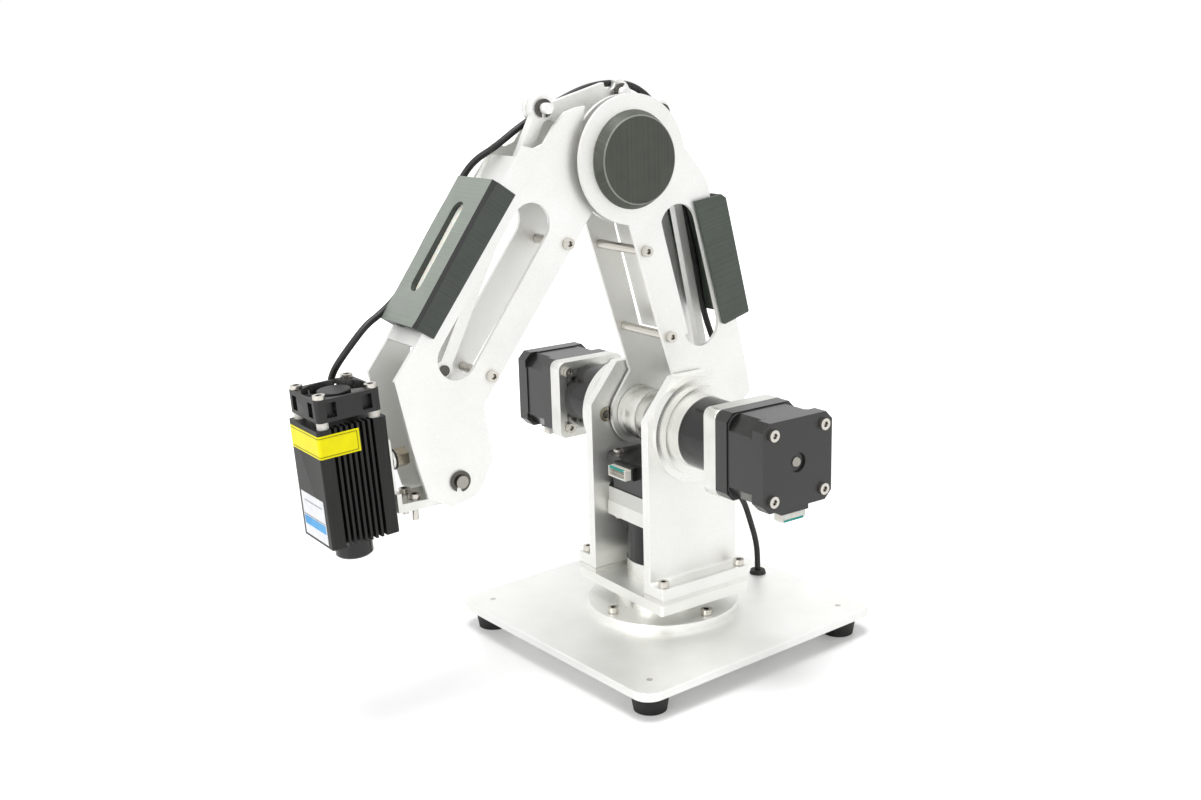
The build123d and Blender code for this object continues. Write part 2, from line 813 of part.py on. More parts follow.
# Elbow triangle: stays level, with a sleeve on the elbow shaft and three pins
with BuildPart() as elbow_triangle:
    with BuildSketch(side(tri_y + tri_t)):
        with BuildLine():
            Polyline(E, A, (E[0] - 1.0, E[1] + 36.0), C, close=True)
        make_face()
        with Locations(E):
            Circle(12)
        with Locations(A, C):
            Circle(eye_r)
        with Locations(B):
            Circle(eye_r)
        with Locations((E[0] - 1.0, E[1] + 35.0)):
            Circle(3.4, mode=Mode.SUBTRACT)
    extrude(amount=tri_t)
    disc(E, elbow_shaft_r + 3, -plate2_in + side_gap, plate2_in - side_gap)
    disc(E, elbow_shaft_r + run_gap, -plate2_in, plate2_in, Mode.SUBTRACT)
    disc(A, pin_r, tri_y + tri_t, plate2_in - 0.6)
    disc(C, pin_r, tri_y + tri_t, rod1_y + rod_t + 2.6)
    disc(B, pin_r, tri_y - 6.5, tri_y + tri_t + 6.0)
keep(elbow_triangle.part, "elbow_triangle")

# Retaining clips on those pins
with BuildPart() as triangle_clips:
    ring_clip(A, pin_r, rod1_y + upper_rod_t + side_gap, 1.0, pin_r + 1.8, -90)
    ring_clip(C, pin_r, rod1_y + rod_t + side_gap, 1.0, pin_r + 1.8, -90)
    ring_clip(B, pin_r, tri_y + tri_t + 1.5, 1.0, pin_r + 1.8, 130)
keep(triangle_clips.part, "triangle_clips")

# Forearm plates. Points along the link from the elbow and up from it
ear = polar((0, 0), math.hypot(crank_x, crank_z), math.degrees(math.atan2(crank_z, crank_x)) - link2_deg)


outline2 = (
    (0, 3.0),
    (0, 29.0),
    (-7.9, 32.9),
    (-5.0, 36.2),
    (0.4, 40.5),
    (8.2, 42.1),
    (18.0, 42.6),
    (22.4, 45.6),
    (24.6, 51.2),
    (128.2, 52.6),
    (144.5, 53.5),
    (167.1, 29.3),
    (182.9, 10.5),
    (181.4, -3.0),
    (170.4, -12.3),
    (153.8, -10.7),
    (133.5, 7.3),
    (122.9, 7.0),
    (30.0, 3.0),
)
slot2 = sized(((86.8, 30.0), (89.5, 20.0)), link2, drawn2)
posts2 = sized(((49.6, 7.2), (120.5, 10.8)), link2, drawn2)


def forearm_plate(plane, with_ear):
    """One side plate of the forearm."""
    with BuildPart() as plate:
        with BuildSketch(plane):
            with BuildLine():
                Polyline(*sized(outline2, link2, drawn2), close=True)
            make_face()
            Circle(elbow2_r)
            if with_ear:
                with BuildLine():
                    Polyline(
                        polar((0, 0), 20, 285),
                        polar((0, 0), 20, 105),
                        polar(ear, eye_r - 0.5, 105),
                        polar(ear, eye_r - 0.5, 285),
                        close=True,
                    )
                make_face()
                with Locations(ear):
                    Circle(eye_r)
            Circle(elbow_shaft_r + run_gap, mode=Mode.SUBTRACT)
            with Locations((link2, 0)):
                Circle(wrist_pin_r + run_gap, mode=Mode.SUBTRACT)
            with Locations(Location((*slot2[0], 0), (0, 0, 1.6))):
                SlotOverall(*slot2[1], mode=Mode.SUBTRACT)
            with Locations(*posts2):
                Circle(screw_r + run_gap, mode=Mode.SUBTRACT)
        extrude(amount=plate_t)
    return plate.part


near2 = forearm_plate(link_side(plate2_in + plate_t, E, link2_deg), False)
keep(near2, "forearm_near_plate")
with BuildPart() as forearm_far_plate:
    add(forearm_plate(link_side(-plate2_in, E, link2_deg), True))
    disc(C, pin_r, -plate2_in, rod2_y + rod_t + 0.6)
keep(forearm_far_plate.part, "forearm_far_plate")

# Forearm web between the upper edges of the plates
with BuildPart() as forearm_web:
    with BuildSketch(link_side(plate2_in, E, link2_deg)):
        with BuildLine():
            Polyline(
                *sized(((29.3, 47.8), (126.8, 50.4)), link2, drawn2),
                *sized(((126.8, 52.4), (29.3, 49.8)), link2, drawn2),
                close=True,
            )
        make_face()
    extrude(amount=2 * plate2_in)
keep(forearm_web.part, "forearm_web")

# Spacer posts of the forearm with their screws
with BuildPart() as forearm_standoffs:
    for at in posts2:
        with BuildSketch(link_side(plate2_in, E, link2_deg)):
            with Locations(at):
                Circle(post_r)
        extrude(amount=2 * plate2_in)
        for y, out in ((plate2_in + plate_t, 1), (-plate2_in - plate_t, -1)):
            place = link_side(y, E, link2_deg).from_local_coords((at[0], at[1], 0))
            head = Plane(origin=(place.X, y, place.Z), z_dir=(0, out, 0))
            screw(head, plate_t, head=2.2)
keep(forearm_standoffs.part, "forearm_standoffs")

# Forearm cover: a long saddle with a slot in its top and room for the cable
half2 = plate2_in + plate_t
with BuildPart() as forearm_cover:
    with BuildSketch(link_side(half2 + cover_wall, E, link2_deg)):
        with BuildLine():
            Polyline(
                (45.4, 44.5),
                (119.8, 47.2),
                (120.0, 58.4),
                (45.4, 57.6),
                close=True,
            )
        make_face()
    extrude(amount=2 * (half2 + cover_wall))
    with BuildSketch(link_side(half2, E, link2_deg)):
        with BuildLine():
            Polyline(
                (40.0, 40.0),
                (125.0, 40.0),
                (125.0, 53.0),
                (40.0, 51.6),
                close=True,
            )
        make_face()
    extrude(amount=2 * half2, mode=Mode.SUBTRACT)
    with BuildSketch(link_side(5.0, E, link2_deg)):
        with BuildLine():
            Polyline(
                (40.0, 51.0),
                (125.0, 52.0),
                (125.0, 56.6),
                (40.0, 55.6),
                close=True,
            )
        make_face()
    extrude(amount=10.0, mode=Mode.SUBTRACT)
keep(forearm_cover.part, "forearm_cover")

# Wrist pin and its retaining rings outside the plates
with BuildPart() as wrist_shaft:
    disc(W, wrist_pin_r, -half2 - 2.6, half2 + 2.6)
keep(wrist_shaft.part, "wrist_shaft")
with BuildPart() as wrist_rings:
    ring_clip(W, wrist_pin_r, half2 + 0.1, 1.0, wrist_pin_r + 2.0, -80)
    ring_clip(W, wrist_pin_r, -half2 - 1.1, 1.0, wrist_pin_r + 2.0, -80)
keep(wrist_rings.part, "wrist_rings")

# Upper rod, with the pin that reaches into the wrist lug
with BuildPart() as upper_rod:
    add(rod(A, V, rod1_y, upper_rod_t, eye_r, 4.7, 6.0, pin_bore, 0))
    disc(V, open_pin_r, tri_y - 0.4, rod1_y)
keep(upper_rod.part, "upper_rod")

# Laser frame: leans a little, its second axis across the arm
head_low = (W[0] + laser_x, W[1] - laser_drop)
lean = math.radians(laser_lean)
laser_frame = Plane(
    origin=(head_low[0], laser_y, head_low[1]),
    x_dir=(math.cos(lean), 0, -math.sin(lean)),
    z_dir=(math.sin(lean), 0, math.cos(lean)),
)


def head_xz(x, z):
    """Point of the laser frame's middle plane, in the plane of the arm."""
    spot = laser_frame.from_local_coords((x, 0, z))
    return (spot.X, spot.Z)


def head_level(x, height):
    """Point at an offset in the laser frame and at a height above the floor."""
    return head_xz(x, (height - head_low[1] + x * math.sin(lean)) / math.cos(lean))


# Wrist bracket: barrel on the wrist pin, a lug to the upper rod, a shelf and a plate
mount_x = -laser_w / 2 - mount_gap
shelf_x = W[0] + shelf_x_in
lug = (V[0] + lug_x, V[1] + lug_z)
with BuildPart() as wrist_bracket:
    disc(W, wrist_hub_r, -wrist_half, wrist_half)
    with BuildSketch(side(tri_y + tri_t)):
        with BuildLine():
            Polyline(
                polar(W, 6.5, 180),
                polar(lug, lug_r - 0.5, 180),
                lug,
                polar(lug, lug_r - 0.5, 0),
                polar(W, 6.5, 0),
                close=True,
            )
        make_face()
        with Locations(lug):
            Circle(lug_r)
            Circle(open_hole_r, mode=Mode.SUBTRACT)
    extrude(amount=tri_t)
    with BuildSketch(side(wrist_half)):
        with BuildLine():
            Polyline(
                (W[0], W[1] - wrist_hub_r),
                (W[0] + 5, W[1] - 10.5),
                head_level(mount_x, W[1] - 10.5),
                head_xz(mount_x, 39.0),
                head_xz(mount_x - mount_t, 39.0),
                head_level(mount_x - mount_t, W[1] - 6.5),
                (W[0] + 8, W[1] - 6.5),
                (W[0], W[1] + 3.0),
                close=True,
            )
        make_face()
    extrude(amount=2 * wrist_half)
    disc(W, wrist_pin_r + run_gap, -wrist_half - 1, wrist_half + 1, Mode.SUBTRACT)
    bolt_face = Plane(
        origin=laser_frame.from_local_coords((mount_x, 0, mount_bolt_h)),
        x_dir=(0, 1, 0),
        z_dir=laser_frame.x_dir,
    )
    with BuildSketch(bolt_face):
        Circle(mount_bolt_r + run_gap)
    extrude(amount=-mount_t - 1, mode=Mode.SUBTRACT)
    with BuildSketch(Plane.XY.offset(W[1] - 12)):
        with GridLocations(1, shelf_pitch, 1, 2):
            with Locations((shelf_x, 0)):
                Circle(screw_r + run_gap)
    extrude(amount=8, mode=Mode.SUBTRACT)
keep(wrist_bracket.part, "wrist_bracket")

# Bolt through the bracket into the laser, with its spacer and hexagon nut, and the shelf screws
with BuildPart() as wrist_fixings:
    with BuildSketch(bolt_face):
        Circle(4.5)
    extrude(amount=mount_gap)
    with BuildSketch(bolt_face):
        Circle(mount_bolt_r)
    extrude(amount=mount_gap + 4.0)
    with BuildSketch(bolt_face):
        Circle(mount_bolt_r)
    extrude(amount=-mount_t - 5.2)
    with BuildSketch(bolt_face.offset(-mount_t)):
        RegularPolygon(4.1, 6)
    extrude(amount=-3.4)
    for y in (-shelf_pitch / 2, shelf_pitch / 2):
        screw(Plane(origin=(shelf_x, y, W[1] - 6.5), z_dir=(0, 0, 1)), 10.0, head=2.4)
keep(wrist_fixings.part, "wrist_fixings")

# Laser head: finned body, tapped at the back and on top
with BuildPart() as laser_body:
    with BuildSketch(laser_frame):
        RectangleRounded(laser_w, laser_d, 1.2)
        for face in (1, -1):
            with Locations((0, face * laser_d / 2)):
                with GridLocations(groove_pitch, 1, groove_count, 1):
                    Rectangle(groove_w, 2 * groove_deep, mode=Mode.SUBTRACT)
    extrude(amount=laser_h)
    with BuildSketch(bolt_face.offset(mount_gap)):
        Circle(mount_bolt_r + run_gap)
    extrude(amount=4.5, mode=Mode.SUBTRACT)
    with BuildSketch(laser_frame.offset(laser_h)):
        with GridLocations(2 * fan_bolt, 2 * fan_bolt, 2, 2):
            Circle(screw_r + run_gap)
    extrude(amount=-6.0, mode=Mode.SUBTRACT)
keep(laser_body.part, "laser_body")

# Lens barrel below the body
with BuildPart() as laser_lens:
    with BuildSketch(laser_frame):
        Circle(lens_r)
    extrude(amount=-lens_h)
    chamfer(laser_lens.faces().sort_by(Axis.Z)[0].edges(), 0.8)
    with BuildSketch(laser_frame.offset(-lens_h)):
        Circle(3.4)
    extrude(amount=4.0, mode=Mode.SUBTRACT)
keep(laser_lens.part, "laser_lens")

# Nylon spacers, fan frame, rotor and screws on top of the body
fan_low = laser_h + fan_gap
with BuildPart() as fan_spacers:
    with BuildSketch(laser_frame.offset(laser_h)):
        with GridLocations(2 * fan_bolt, 2 * fan_bolt, 2, 2):
            Circle(2.6)
            Circle(screw_r + run_gap, mode=Mode.SUBTRACT)
    extrude(amount=fan_gap)
keep(fan_spacers.part, "fan_spacers")

with BuildPart() as fan_frame:
    with BuildSketch(laser_frame.offset(fan_low)):
        RectangleRounded(fan_side, fan_side, 2.5)
        Circle(fan_bore_r, mode=Mode.SUBTRACT)
        with GridLocations(2 * fan_bolt, 2 * fan_bolt, 2, 2):
            Circle(screw_r + run_gap, mode=Mode.SUBTRACT)
    extrude(amount=fan_t)
    with BuildSketch(laser_frame.offset(fan_low)):
        Circle(fan_hub_r)
        with PolarLocations(0, 3, start_angle=30):
            with Locations((10.8, 0)):
                Rectangle(7.5, 1.6)
    extrude(amount=1.6)
    with BuildSketch(laser_frame.offset(fan_low + 1.6)):
        Circle(1.0)
    extrude(amount=3.5)
keep(fan_frame.part, "fan_frame")

with BuildPart() as fan_rotor:
    with BuildSketch(laser_frame.offset(fan_low + 1.9)):
        Circle(fan_hub_r)
    extrude(amount=fan_t - 2.3)
    fillet(fan_rotor.faces().sort_by(Axis(laser_frame.origin, laser_frame.z_dir))[-1].edges(), 0.6)
    with BuildSketch(laser_frame.offset(fan_low + 1.9)):
        Circle(1.0 + run_gap)
    extrude(amount=3.8, mode=Mode.SUBTRACT)
    for i in range(fan_blades):
        turn = math.radians(360 * i / fan_blades)
        tilt = math.radians(blade_tilt)
        radial = laser_frame.x_dir * math.cos(turn) + laser_frame.y_dir * math.sin(turn)
        across = laser_frame.y_dir * math.cos(turn) - laser_frame.x_dir * math.sin(turn)
        middle = laser_frame.from_local_coords((0, 0, fan_low + fan_t / 2 + 0.7))
        root = Plane(
            origin=Vector(middle) + radial * (fan_hub_r - 0.6),
            x_dir=across * math.cos(tilt) + laser_frame.z_dir * math.sin(tilt),
            z_dir=radial,
        )
        with BuildSketch(root):
            Rectangle(blade_chord, 0.7)
        extrude(amount=5.6)
keep(fan_rotor.part, "fan_rotor")

# Screws of the fan, down into the laser body
with BuildPart() as head_screws:
    for spot in GridLocations(2 * fan_bolt, 2 * fan_bolt, 2, 2):
        x, y = spot.position.X, spot.position.Y
        top = Plane(
            origin=laser_frame.from_local_coords((x, y, fan_low + fan_t)),
            x_dir=laser_frame.x_dir,
            z_dir=laser_frame.z_dir,
        )
        screw(top, fan_t + fan_gap + 5.0, head=1.8)
keep(head_screws.part, "head_screws")



def arm1(u, v, y):
    """Point of the lower arm, along the link from the shoulder and back from it."""
    spot = link_side(y, S, link1_deg).from_local_coords((u, v, 0))
    return (spot.X, spot.Y, spot.Z)


def arm2(u, v, y):
    """Point of the forearm, along the link from the elbow and up from it."""
    spot = link_side(y, E, link2_deg).from_local_coords((u, v, 0))
    return (spot.X, spot.Y, spot.Z)


def cable(first, last, label):
    """Round cable between the middles of two runs of the route, its arcs as large as they allow."""
    a = (route[first] + route[first + 1]) / 2 if first else route[0]
    b = (route[last] + route[last + 1]) / 2 if last + 2 < len(route) else route[-1]
    corners = [a] + route[first + 1 : last + 1] + [b]
    arcs = radii[first : last]
    with BuildPart() as tube:
        with BuildLine() as line:
            FilletPolyline(*corners, radius=arcs)
        path = line.wires()[0]
        with BuildSketch(Plane(origin=path @ 0, z_dir=path % 0)):
            Circle(cable_r)
        sweep(path=path)
    length = path.length
    ratio = tube.part.volume / (math.pi * cable_r ** 2 * length)
    print(label, "length", round(length, 1), "radii", [round(r, 1) for r in arcs],
          "volume ratio", round(ratio, 4))
    keep(tube.part, label)


# Cable of the laser head, one route from the fan to the base, cut in the middle of runs
side_lane = -(plate2_in + plate_t + cover_wall + cable_r + side_gap)
inner_lane = (tri_y + rod2_y + rod_t + 0.2) / 2
fan_side_y = laser_y - fan_side / 2
clip_top = clip_z + clip_h
over_b = B[1] + pin_r + cable_r + 0.3
wrist_run = [
    (W[0] + 45.2, fan_side_y, W[1] + 44.4),
    (W[0] + 45.2, fan_side_y - 4.6, W[1] + 44.4),
    (W[0] + 44.4, fan_side_y - 4.4, W[1] + 50.0),
    (W[0] + 42.3, fan_side_y - 1.4, W[1] + 56.0),
    (W[0] + 36.6, fan_side_y + 0.4, W[1] + 63.4),
    (W[0] + 27.4, fan_side_y - 0.8, W[1] + 71.8),
]
forearm_run = [
    arm2(119.0, 59.0, side_lane + 0.2),
    arm2(106.0, 54.6, side_lane),
    arm2(79.0, 55.6, side_lane),
    arm2(44.4, 54.6, side_lane),
]
elbow_run = [
    arm2(35.5, 55.2, -13.4),
    arm2(27.5, 52.8, -7.0),
    (73.0, inner_lane, z_axis + 151.4),
    (52.0, inner_lane, z_axis + 161.4),
    (B[0] + 15.5, inner_lane, over_b - 1.6),
    (B[0] + 1.5, inner_lane, over_b + 0.1),
]
rear_run = [
    (B[0] - 11.5, inner_lane, over_b - 1.2),
    (B[0] - 22.0, inner_lane, over_b - 7.4),
    (B[0] - 29.5, inner_lane, over_b - 17.5),
    (B[0] - 33.2, inner_lane, over_b - 30.0),
]
arm_run = [
    arm1(113.0, 40.2, inner_lane),
    arm1(92.0, 43.2, inner_lane),
    arm1(66.0, 43.7, inner_lane),
    arm1(44.0, 43.0, inner_lane),
]
hanging_run = [
    (-39.5, -4.2, z_axis + 34.0),
    (-43.5, 0.0, z_axis + 20.5),
    (-39.5, 5.5, z_axis + 6.6),
    (clip_x, clip_y, clip_top + 11.0),
]
tail_run = [
    (clip_x, clip_y, clip_z - 9.0),
    (-36.0, 6.4, z_deck + 46.5),
    (-46.5, 4.2, z_deck + 37.5),
    (-55.4, 1.6, z_deck + 28.6),
    (-61.2, 0.5, z_deck + 15.0),
    (-65.6, 0.1, z_deck + 2.6),
    (grommet_x, 0.0, z_flange + 9.5),
    (grommet_x, 0.0, z_plate - grommet_lip),
]
stretches = (
    (wrist_run, "cable_wrist"),
    (forearm_run, "cable_forearm"),
    (elbow_run, "cable_elbow_front"),
    (rear_run, "cable_elbow_rear"),
    (arm_run, "cable_arm"),
    (hanging_run, "cable_shoulder"),
    (tail_run, "cable_tail"),
)
route = [Vector(*point) for run, label in stretches for point in run]
radii = []
for a, b, c in zip(route, route[1:], route[2:]):
    turn = math.radians((b - a).get_angle(c - b))
    radii.append(0.45 * min((b - a).length, (c - b).length) / math.tan(turn / 2))
end = -1
for run, label in stretches:
    start = max(end, 0)
    end += len(run)
    cable(start, min(end, len(route) - 2), label)
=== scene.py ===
# %% [markdown]
# # A small robot arm with a laser head
#
# The arm stands on a square plate with rubber feet. Two geared motors at its shoulder
# swing the lower arm and the forearm, and thin rods keep the laser head level. The exact
# solids come ready made from a CAD model. This notebook gives them their finishes, adds
# the soft cable and a few fine pieces, and photographs the arm in a white studio.

# %% Load the frame
import json
import math

import bmesh
import bpy
from mathutils import Matrix, Vector
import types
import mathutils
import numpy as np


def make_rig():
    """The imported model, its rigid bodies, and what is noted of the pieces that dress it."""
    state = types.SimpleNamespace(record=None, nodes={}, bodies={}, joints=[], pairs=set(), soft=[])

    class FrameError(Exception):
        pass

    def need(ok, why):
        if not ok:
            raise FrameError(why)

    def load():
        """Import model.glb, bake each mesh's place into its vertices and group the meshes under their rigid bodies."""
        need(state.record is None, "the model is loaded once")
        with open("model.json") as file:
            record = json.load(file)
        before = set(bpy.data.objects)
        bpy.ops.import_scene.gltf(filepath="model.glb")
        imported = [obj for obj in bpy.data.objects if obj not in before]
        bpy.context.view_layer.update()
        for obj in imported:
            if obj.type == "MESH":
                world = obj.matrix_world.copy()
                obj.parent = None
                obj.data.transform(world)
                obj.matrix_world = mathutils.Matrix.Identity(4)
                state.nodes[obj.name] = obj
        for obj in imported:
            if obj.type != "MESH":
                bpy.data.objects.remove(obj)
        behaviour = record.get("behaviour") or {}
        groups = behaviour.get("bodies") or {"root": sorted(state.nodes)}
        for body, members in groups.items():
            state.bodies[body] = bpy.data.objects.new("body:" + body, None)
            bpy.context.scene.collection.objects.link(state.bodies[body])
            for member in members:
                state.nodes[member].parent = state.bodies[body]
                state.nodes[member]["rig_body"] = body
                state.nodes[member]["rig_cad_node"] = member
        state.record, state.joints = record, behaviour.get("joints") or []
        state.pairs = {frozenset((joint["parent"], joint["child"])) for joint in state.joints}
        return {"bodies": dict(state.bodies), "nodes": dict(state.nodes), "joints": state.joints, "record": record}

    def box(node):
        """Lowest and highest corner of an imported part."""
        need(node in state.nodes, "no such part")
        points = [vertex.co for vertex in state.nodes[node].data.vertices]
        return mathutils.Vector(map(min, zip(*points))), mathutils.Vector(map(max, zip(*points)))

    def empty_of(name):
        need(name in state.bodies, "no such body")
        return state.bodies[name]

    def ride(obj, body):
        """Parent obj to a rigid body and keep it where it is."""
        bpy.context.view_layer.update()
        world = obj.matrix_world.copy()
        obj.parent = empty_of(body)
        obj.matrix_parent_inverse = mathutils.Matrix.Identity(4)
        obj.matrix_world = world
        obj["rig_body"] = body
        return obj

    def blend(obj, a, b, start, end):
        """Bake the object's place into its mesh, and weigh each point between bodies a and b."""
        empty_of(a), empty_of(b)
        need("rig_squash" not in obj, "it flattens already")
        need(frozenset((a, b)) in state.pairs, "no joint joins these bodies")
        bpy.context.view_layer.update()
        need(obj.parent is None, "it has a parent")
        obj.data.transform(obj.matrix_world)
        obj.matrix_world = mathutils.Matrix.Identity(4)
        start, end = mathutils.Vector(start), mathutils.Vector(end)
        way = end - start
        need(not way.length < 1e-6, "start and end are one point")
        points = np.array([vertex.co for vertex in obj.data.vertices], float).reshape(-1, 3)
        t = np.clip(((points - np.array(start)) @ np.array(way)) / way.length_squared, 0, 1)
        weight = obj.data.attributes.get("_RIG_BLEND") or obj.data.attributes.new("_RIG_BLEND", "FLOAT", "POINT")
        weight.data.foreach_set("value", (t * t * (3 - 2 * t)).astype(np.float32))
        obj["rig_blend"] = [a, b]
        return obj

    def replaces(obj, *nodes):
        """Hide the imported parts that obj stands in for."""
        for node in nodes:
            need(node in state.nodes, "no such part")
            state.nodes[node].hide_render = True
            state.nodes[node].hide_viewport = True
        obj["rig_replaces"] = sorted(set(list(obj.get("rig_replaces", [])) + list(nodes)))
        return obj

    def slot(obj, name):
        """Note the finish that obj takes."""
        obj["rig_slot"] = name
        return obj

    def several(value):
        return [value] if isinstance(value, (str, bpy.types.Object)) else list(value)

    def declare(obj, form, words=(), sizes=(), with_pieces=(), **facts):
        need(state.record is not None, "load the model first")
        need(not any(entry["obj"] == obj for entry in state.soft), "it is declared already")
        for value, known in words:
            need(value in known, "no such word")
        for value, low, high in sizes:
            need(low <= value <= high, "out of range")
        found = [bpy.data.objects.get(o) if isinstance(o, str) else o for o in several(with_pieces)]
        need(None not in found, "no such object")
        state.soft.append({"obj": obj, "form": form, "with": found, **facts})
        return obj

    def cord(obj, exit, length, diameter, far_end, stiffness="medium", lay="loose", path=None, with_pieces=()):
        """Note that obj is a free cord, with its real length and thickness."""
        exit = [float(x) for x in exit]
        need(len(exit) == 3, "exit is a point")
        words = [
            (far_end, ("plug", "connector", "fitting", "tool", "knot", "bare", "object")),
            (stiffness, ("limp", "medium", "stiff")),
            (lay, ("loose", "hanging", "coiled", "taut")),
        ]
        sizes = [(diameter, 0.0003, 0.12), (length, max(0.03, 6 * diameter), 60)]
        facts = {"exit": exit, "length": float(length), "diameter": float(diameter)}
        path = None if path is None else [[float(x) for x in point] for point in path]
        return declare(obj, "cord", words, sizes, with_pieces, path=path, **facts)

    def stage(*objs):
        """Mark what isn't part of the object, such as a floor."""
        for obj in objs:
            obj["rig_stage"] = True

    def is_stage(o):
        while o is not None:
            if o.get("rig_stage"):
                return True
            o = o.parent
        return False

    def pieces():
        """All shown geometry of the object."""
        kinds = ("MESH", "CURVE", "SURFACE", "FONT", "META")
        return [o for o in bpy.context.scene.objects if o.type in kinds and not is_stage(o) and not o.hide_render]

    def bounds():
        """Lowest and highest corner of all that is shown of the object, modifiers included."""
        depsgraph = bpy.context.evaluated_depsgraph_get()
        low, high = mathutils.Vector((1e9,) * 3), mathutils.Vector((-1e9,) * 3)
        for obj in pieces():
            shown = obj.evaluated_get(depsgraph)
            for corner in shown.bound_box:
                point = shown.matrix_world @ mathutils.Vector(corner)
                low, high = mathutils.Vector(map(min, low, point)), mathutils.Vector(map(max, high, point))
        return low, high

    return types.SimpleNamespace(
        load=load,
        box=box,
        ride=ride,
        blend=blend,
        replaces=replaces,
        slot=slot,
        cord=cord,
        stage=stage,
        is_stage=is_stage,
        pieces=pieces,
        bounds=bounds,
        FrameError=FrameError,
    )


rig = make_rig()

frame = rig.load()
nodes = frame["nodes"]
cad_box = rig.bounds()
MM = 0.001
print("CAD nodes:", len(nodes), "box:", [round(v, 4) for v in (*cad_box[0], *cad_box[1])])

# %% [markdown]
# ## The places that everything hangs on
#
# All pieces share the frame of the CAD model: X the way the arm points, Y across it and
# Z up, in metres. The arm moves in the plane of X and Z, so two joints and two link
# angles give every place on it. A point on a link is written as its distance along the
# link and its height over it, as a drawing of the link would give it.

# %% Joints and link directions
SHOULDER_Z = 116.4
SHOULDER = Vector((0, 0, SHOULDER_Z)) * MM
ELBOW = Vector((28.167, 0, 250.064)) * MM
WRIST = Vector((125.516, 0, 111.552)) * MM
LOWER_DEG = 78.1
FOREARM_DEG = -54.9


def on_link(origin, degrees, along, over, across):
    """Point of a link in metres, from its three distances in millimetres."""
    turn = math.radians(degrees)
    x = along * math.cos(turn) - over * math.sin(turn)
    z = along * math.sin(turn) + over * math.cos(turn)
    return origin + Vector((x, across, z)) * MM


links = ((ELBOW - SHOULDER).length / MM, (WRIST - ELBOW).length / MM)
print("lower arm and forearm in mm:", [round(v, 1) for v in links])

# %% [markdown]
# The laser head leans by a few degrees and has its own small frame: its origin is in the
# middle of the body's underside. Its matrix turns distances in that frame into places.

# %% Frame of the laser head
LASER_LEAN = math.radians(3.2)
LASER_W, LASER_D = 32.3, 30.7
HEAD_AHEAD, HEAD_ACROSS, HEAD_BELOW = 48.5, 0.6, 17.1
head = Matrix(
    (
        (math.cos(LASER_LEAN), 0, math.sin(LASER_LEAN), WRIST.x + HEAD_AHEAD * MM),
        (0, 1, 0, HEAD_ACROSS * MM),
        (-math.sin(LASER_LEAN), 0, math.cos(LASER_LEAN), WRIST.z - HEAD_BELOW * MM),
        (0, 0, 0, 1),
    )
)


def on_head(x, y, z):
    """Point of the laser head in metres, from millimetres in its own frame."""
    return head @ (Vector((x, y, z)) * MM)


print("middle of the laser's underside:", [round(v, 4) for v in on_head(0, 0, 0)])

# %% [markdown]
# ## The camera
#
# The photograph was taken from a little above, in front of the arm's near side. The lens
# and the place of the camera were found from the motor's square face, whose size is
# known. The matrix is built from the three directions of the camera: to the right of the
# picture, up in it, and back towards the eye.

# %% Camera
PHOTO_W, FOCAL_PX = 1201, 1353
YAW, PITCH, ROLL = (math.radians(a) for a in (55.28, 14.37, -1.60))
look = -Vector(
    (math.cos(YAW) * math.cos(PITCH), math.sin(YAW) * math.cos(PITCH), math.sin(PITCH))
)
level_right = look.cross(Vector((0, 0, 1))).normalized()
level_up = level_right.cross(look)
right = level_right * math.cos(ROLL) + level_up * math.sin(ROLL)
up = level_up * math.cos(ROLL) - level_right * math.sin(ROLL)
eye = Vector((407.16, 534.53, 298.51)) * MM

camera_data = bpy.data.cameras.new("studio_camera")
camera_data.sensor_width = 36
camera_data.lens = camera_data.sensor_width * FOCAL_PX / PHOTO_W
camera = bpy.data.objects.new("studio_camera", camera_data)
bpy.context.scene.collection.objects.link(camera)
rows = [(right[i], up[i], -look[i], eye[i]) for i in range(3)]
camera.matrix_world = Matrix((*rows, (0, 0, 0, 1)))
bpy.context.scene.camera = camera
print("lens in mm:", round(camera_data.lens, 2))

# %% [markdown]
# ## Colours and nodes
#
# A colour picked on a screen is an sRGB hex value, but a shader works with linear light.
# One function turns the first into the second. A second small function adds a shader
# node: words in small letters are the node's settings, words with a capital are its
# sockets, and `in0` or `in1` stand for sockets that share one name.


# %% Two helpers for materials
def colour(code):
    """sRGB hex code as the linear colour of a shader."""
    parts = [int(code[i : i + 2], 16) / 255 for i in (1, 3, 5)]
    linear = [p / 12.92 if p <= 0.04045 else ((p + 0.055) / 1.055) ** 2.4 for p in parts]
    return (*linear, 1.0)


def add(tree, kind, **words):
    """Adds one node with its settings and its sockets' values or links."""
    new = tree.nodes.new("ShaderNode" + kind)
    for word, value in words.items():
        numbered = word[:2] == "in" and word[2:].isdigit()
        if not numbered and word[0].islower():
            setattr(new, word, value)
            continue
        socket = new.inputs[int(word[2:]) if numbered else word.replace("_", " ")]
        if isinstance(value, bpy.types.NodeSocket):
            tree.links.new(value, socket)
        else:
            socket.default_value = value
    return new


# %% [markdown]
# Every finish begins in the same way: a Principled shader with its plain numbers, and a
# texture coordinate that stays on the piece. The object coordinate is in metres, so a
# pattern that repeats every millimetre has a scale of 1000.


# %% Start of every finish
def finish(name, base, metallic=0.0, rough=0.5, **sockets):
    """A new material with its shader and the coordinate that patterns start from."""
    material = bpy.data.materials.new(name)
    material.use_nodes = True
    tree = material.node_tree
    tree.nodes.clear()
    shader = add(tree, "BsdfPrincipled", Metallic=metallic, Roughness=rough)
    shader.inputs["Base Color"].default_value = colour(base)
    for word, value in sockets.items():
        shader.inputs[word.replace("_", " ")].default_value = value
    add(tree, "OutputMaterial", Surface=shader.outputs[0])
    place = add(tree, "TexCoord").outputs["Object"]
    return material, tree, shader, place


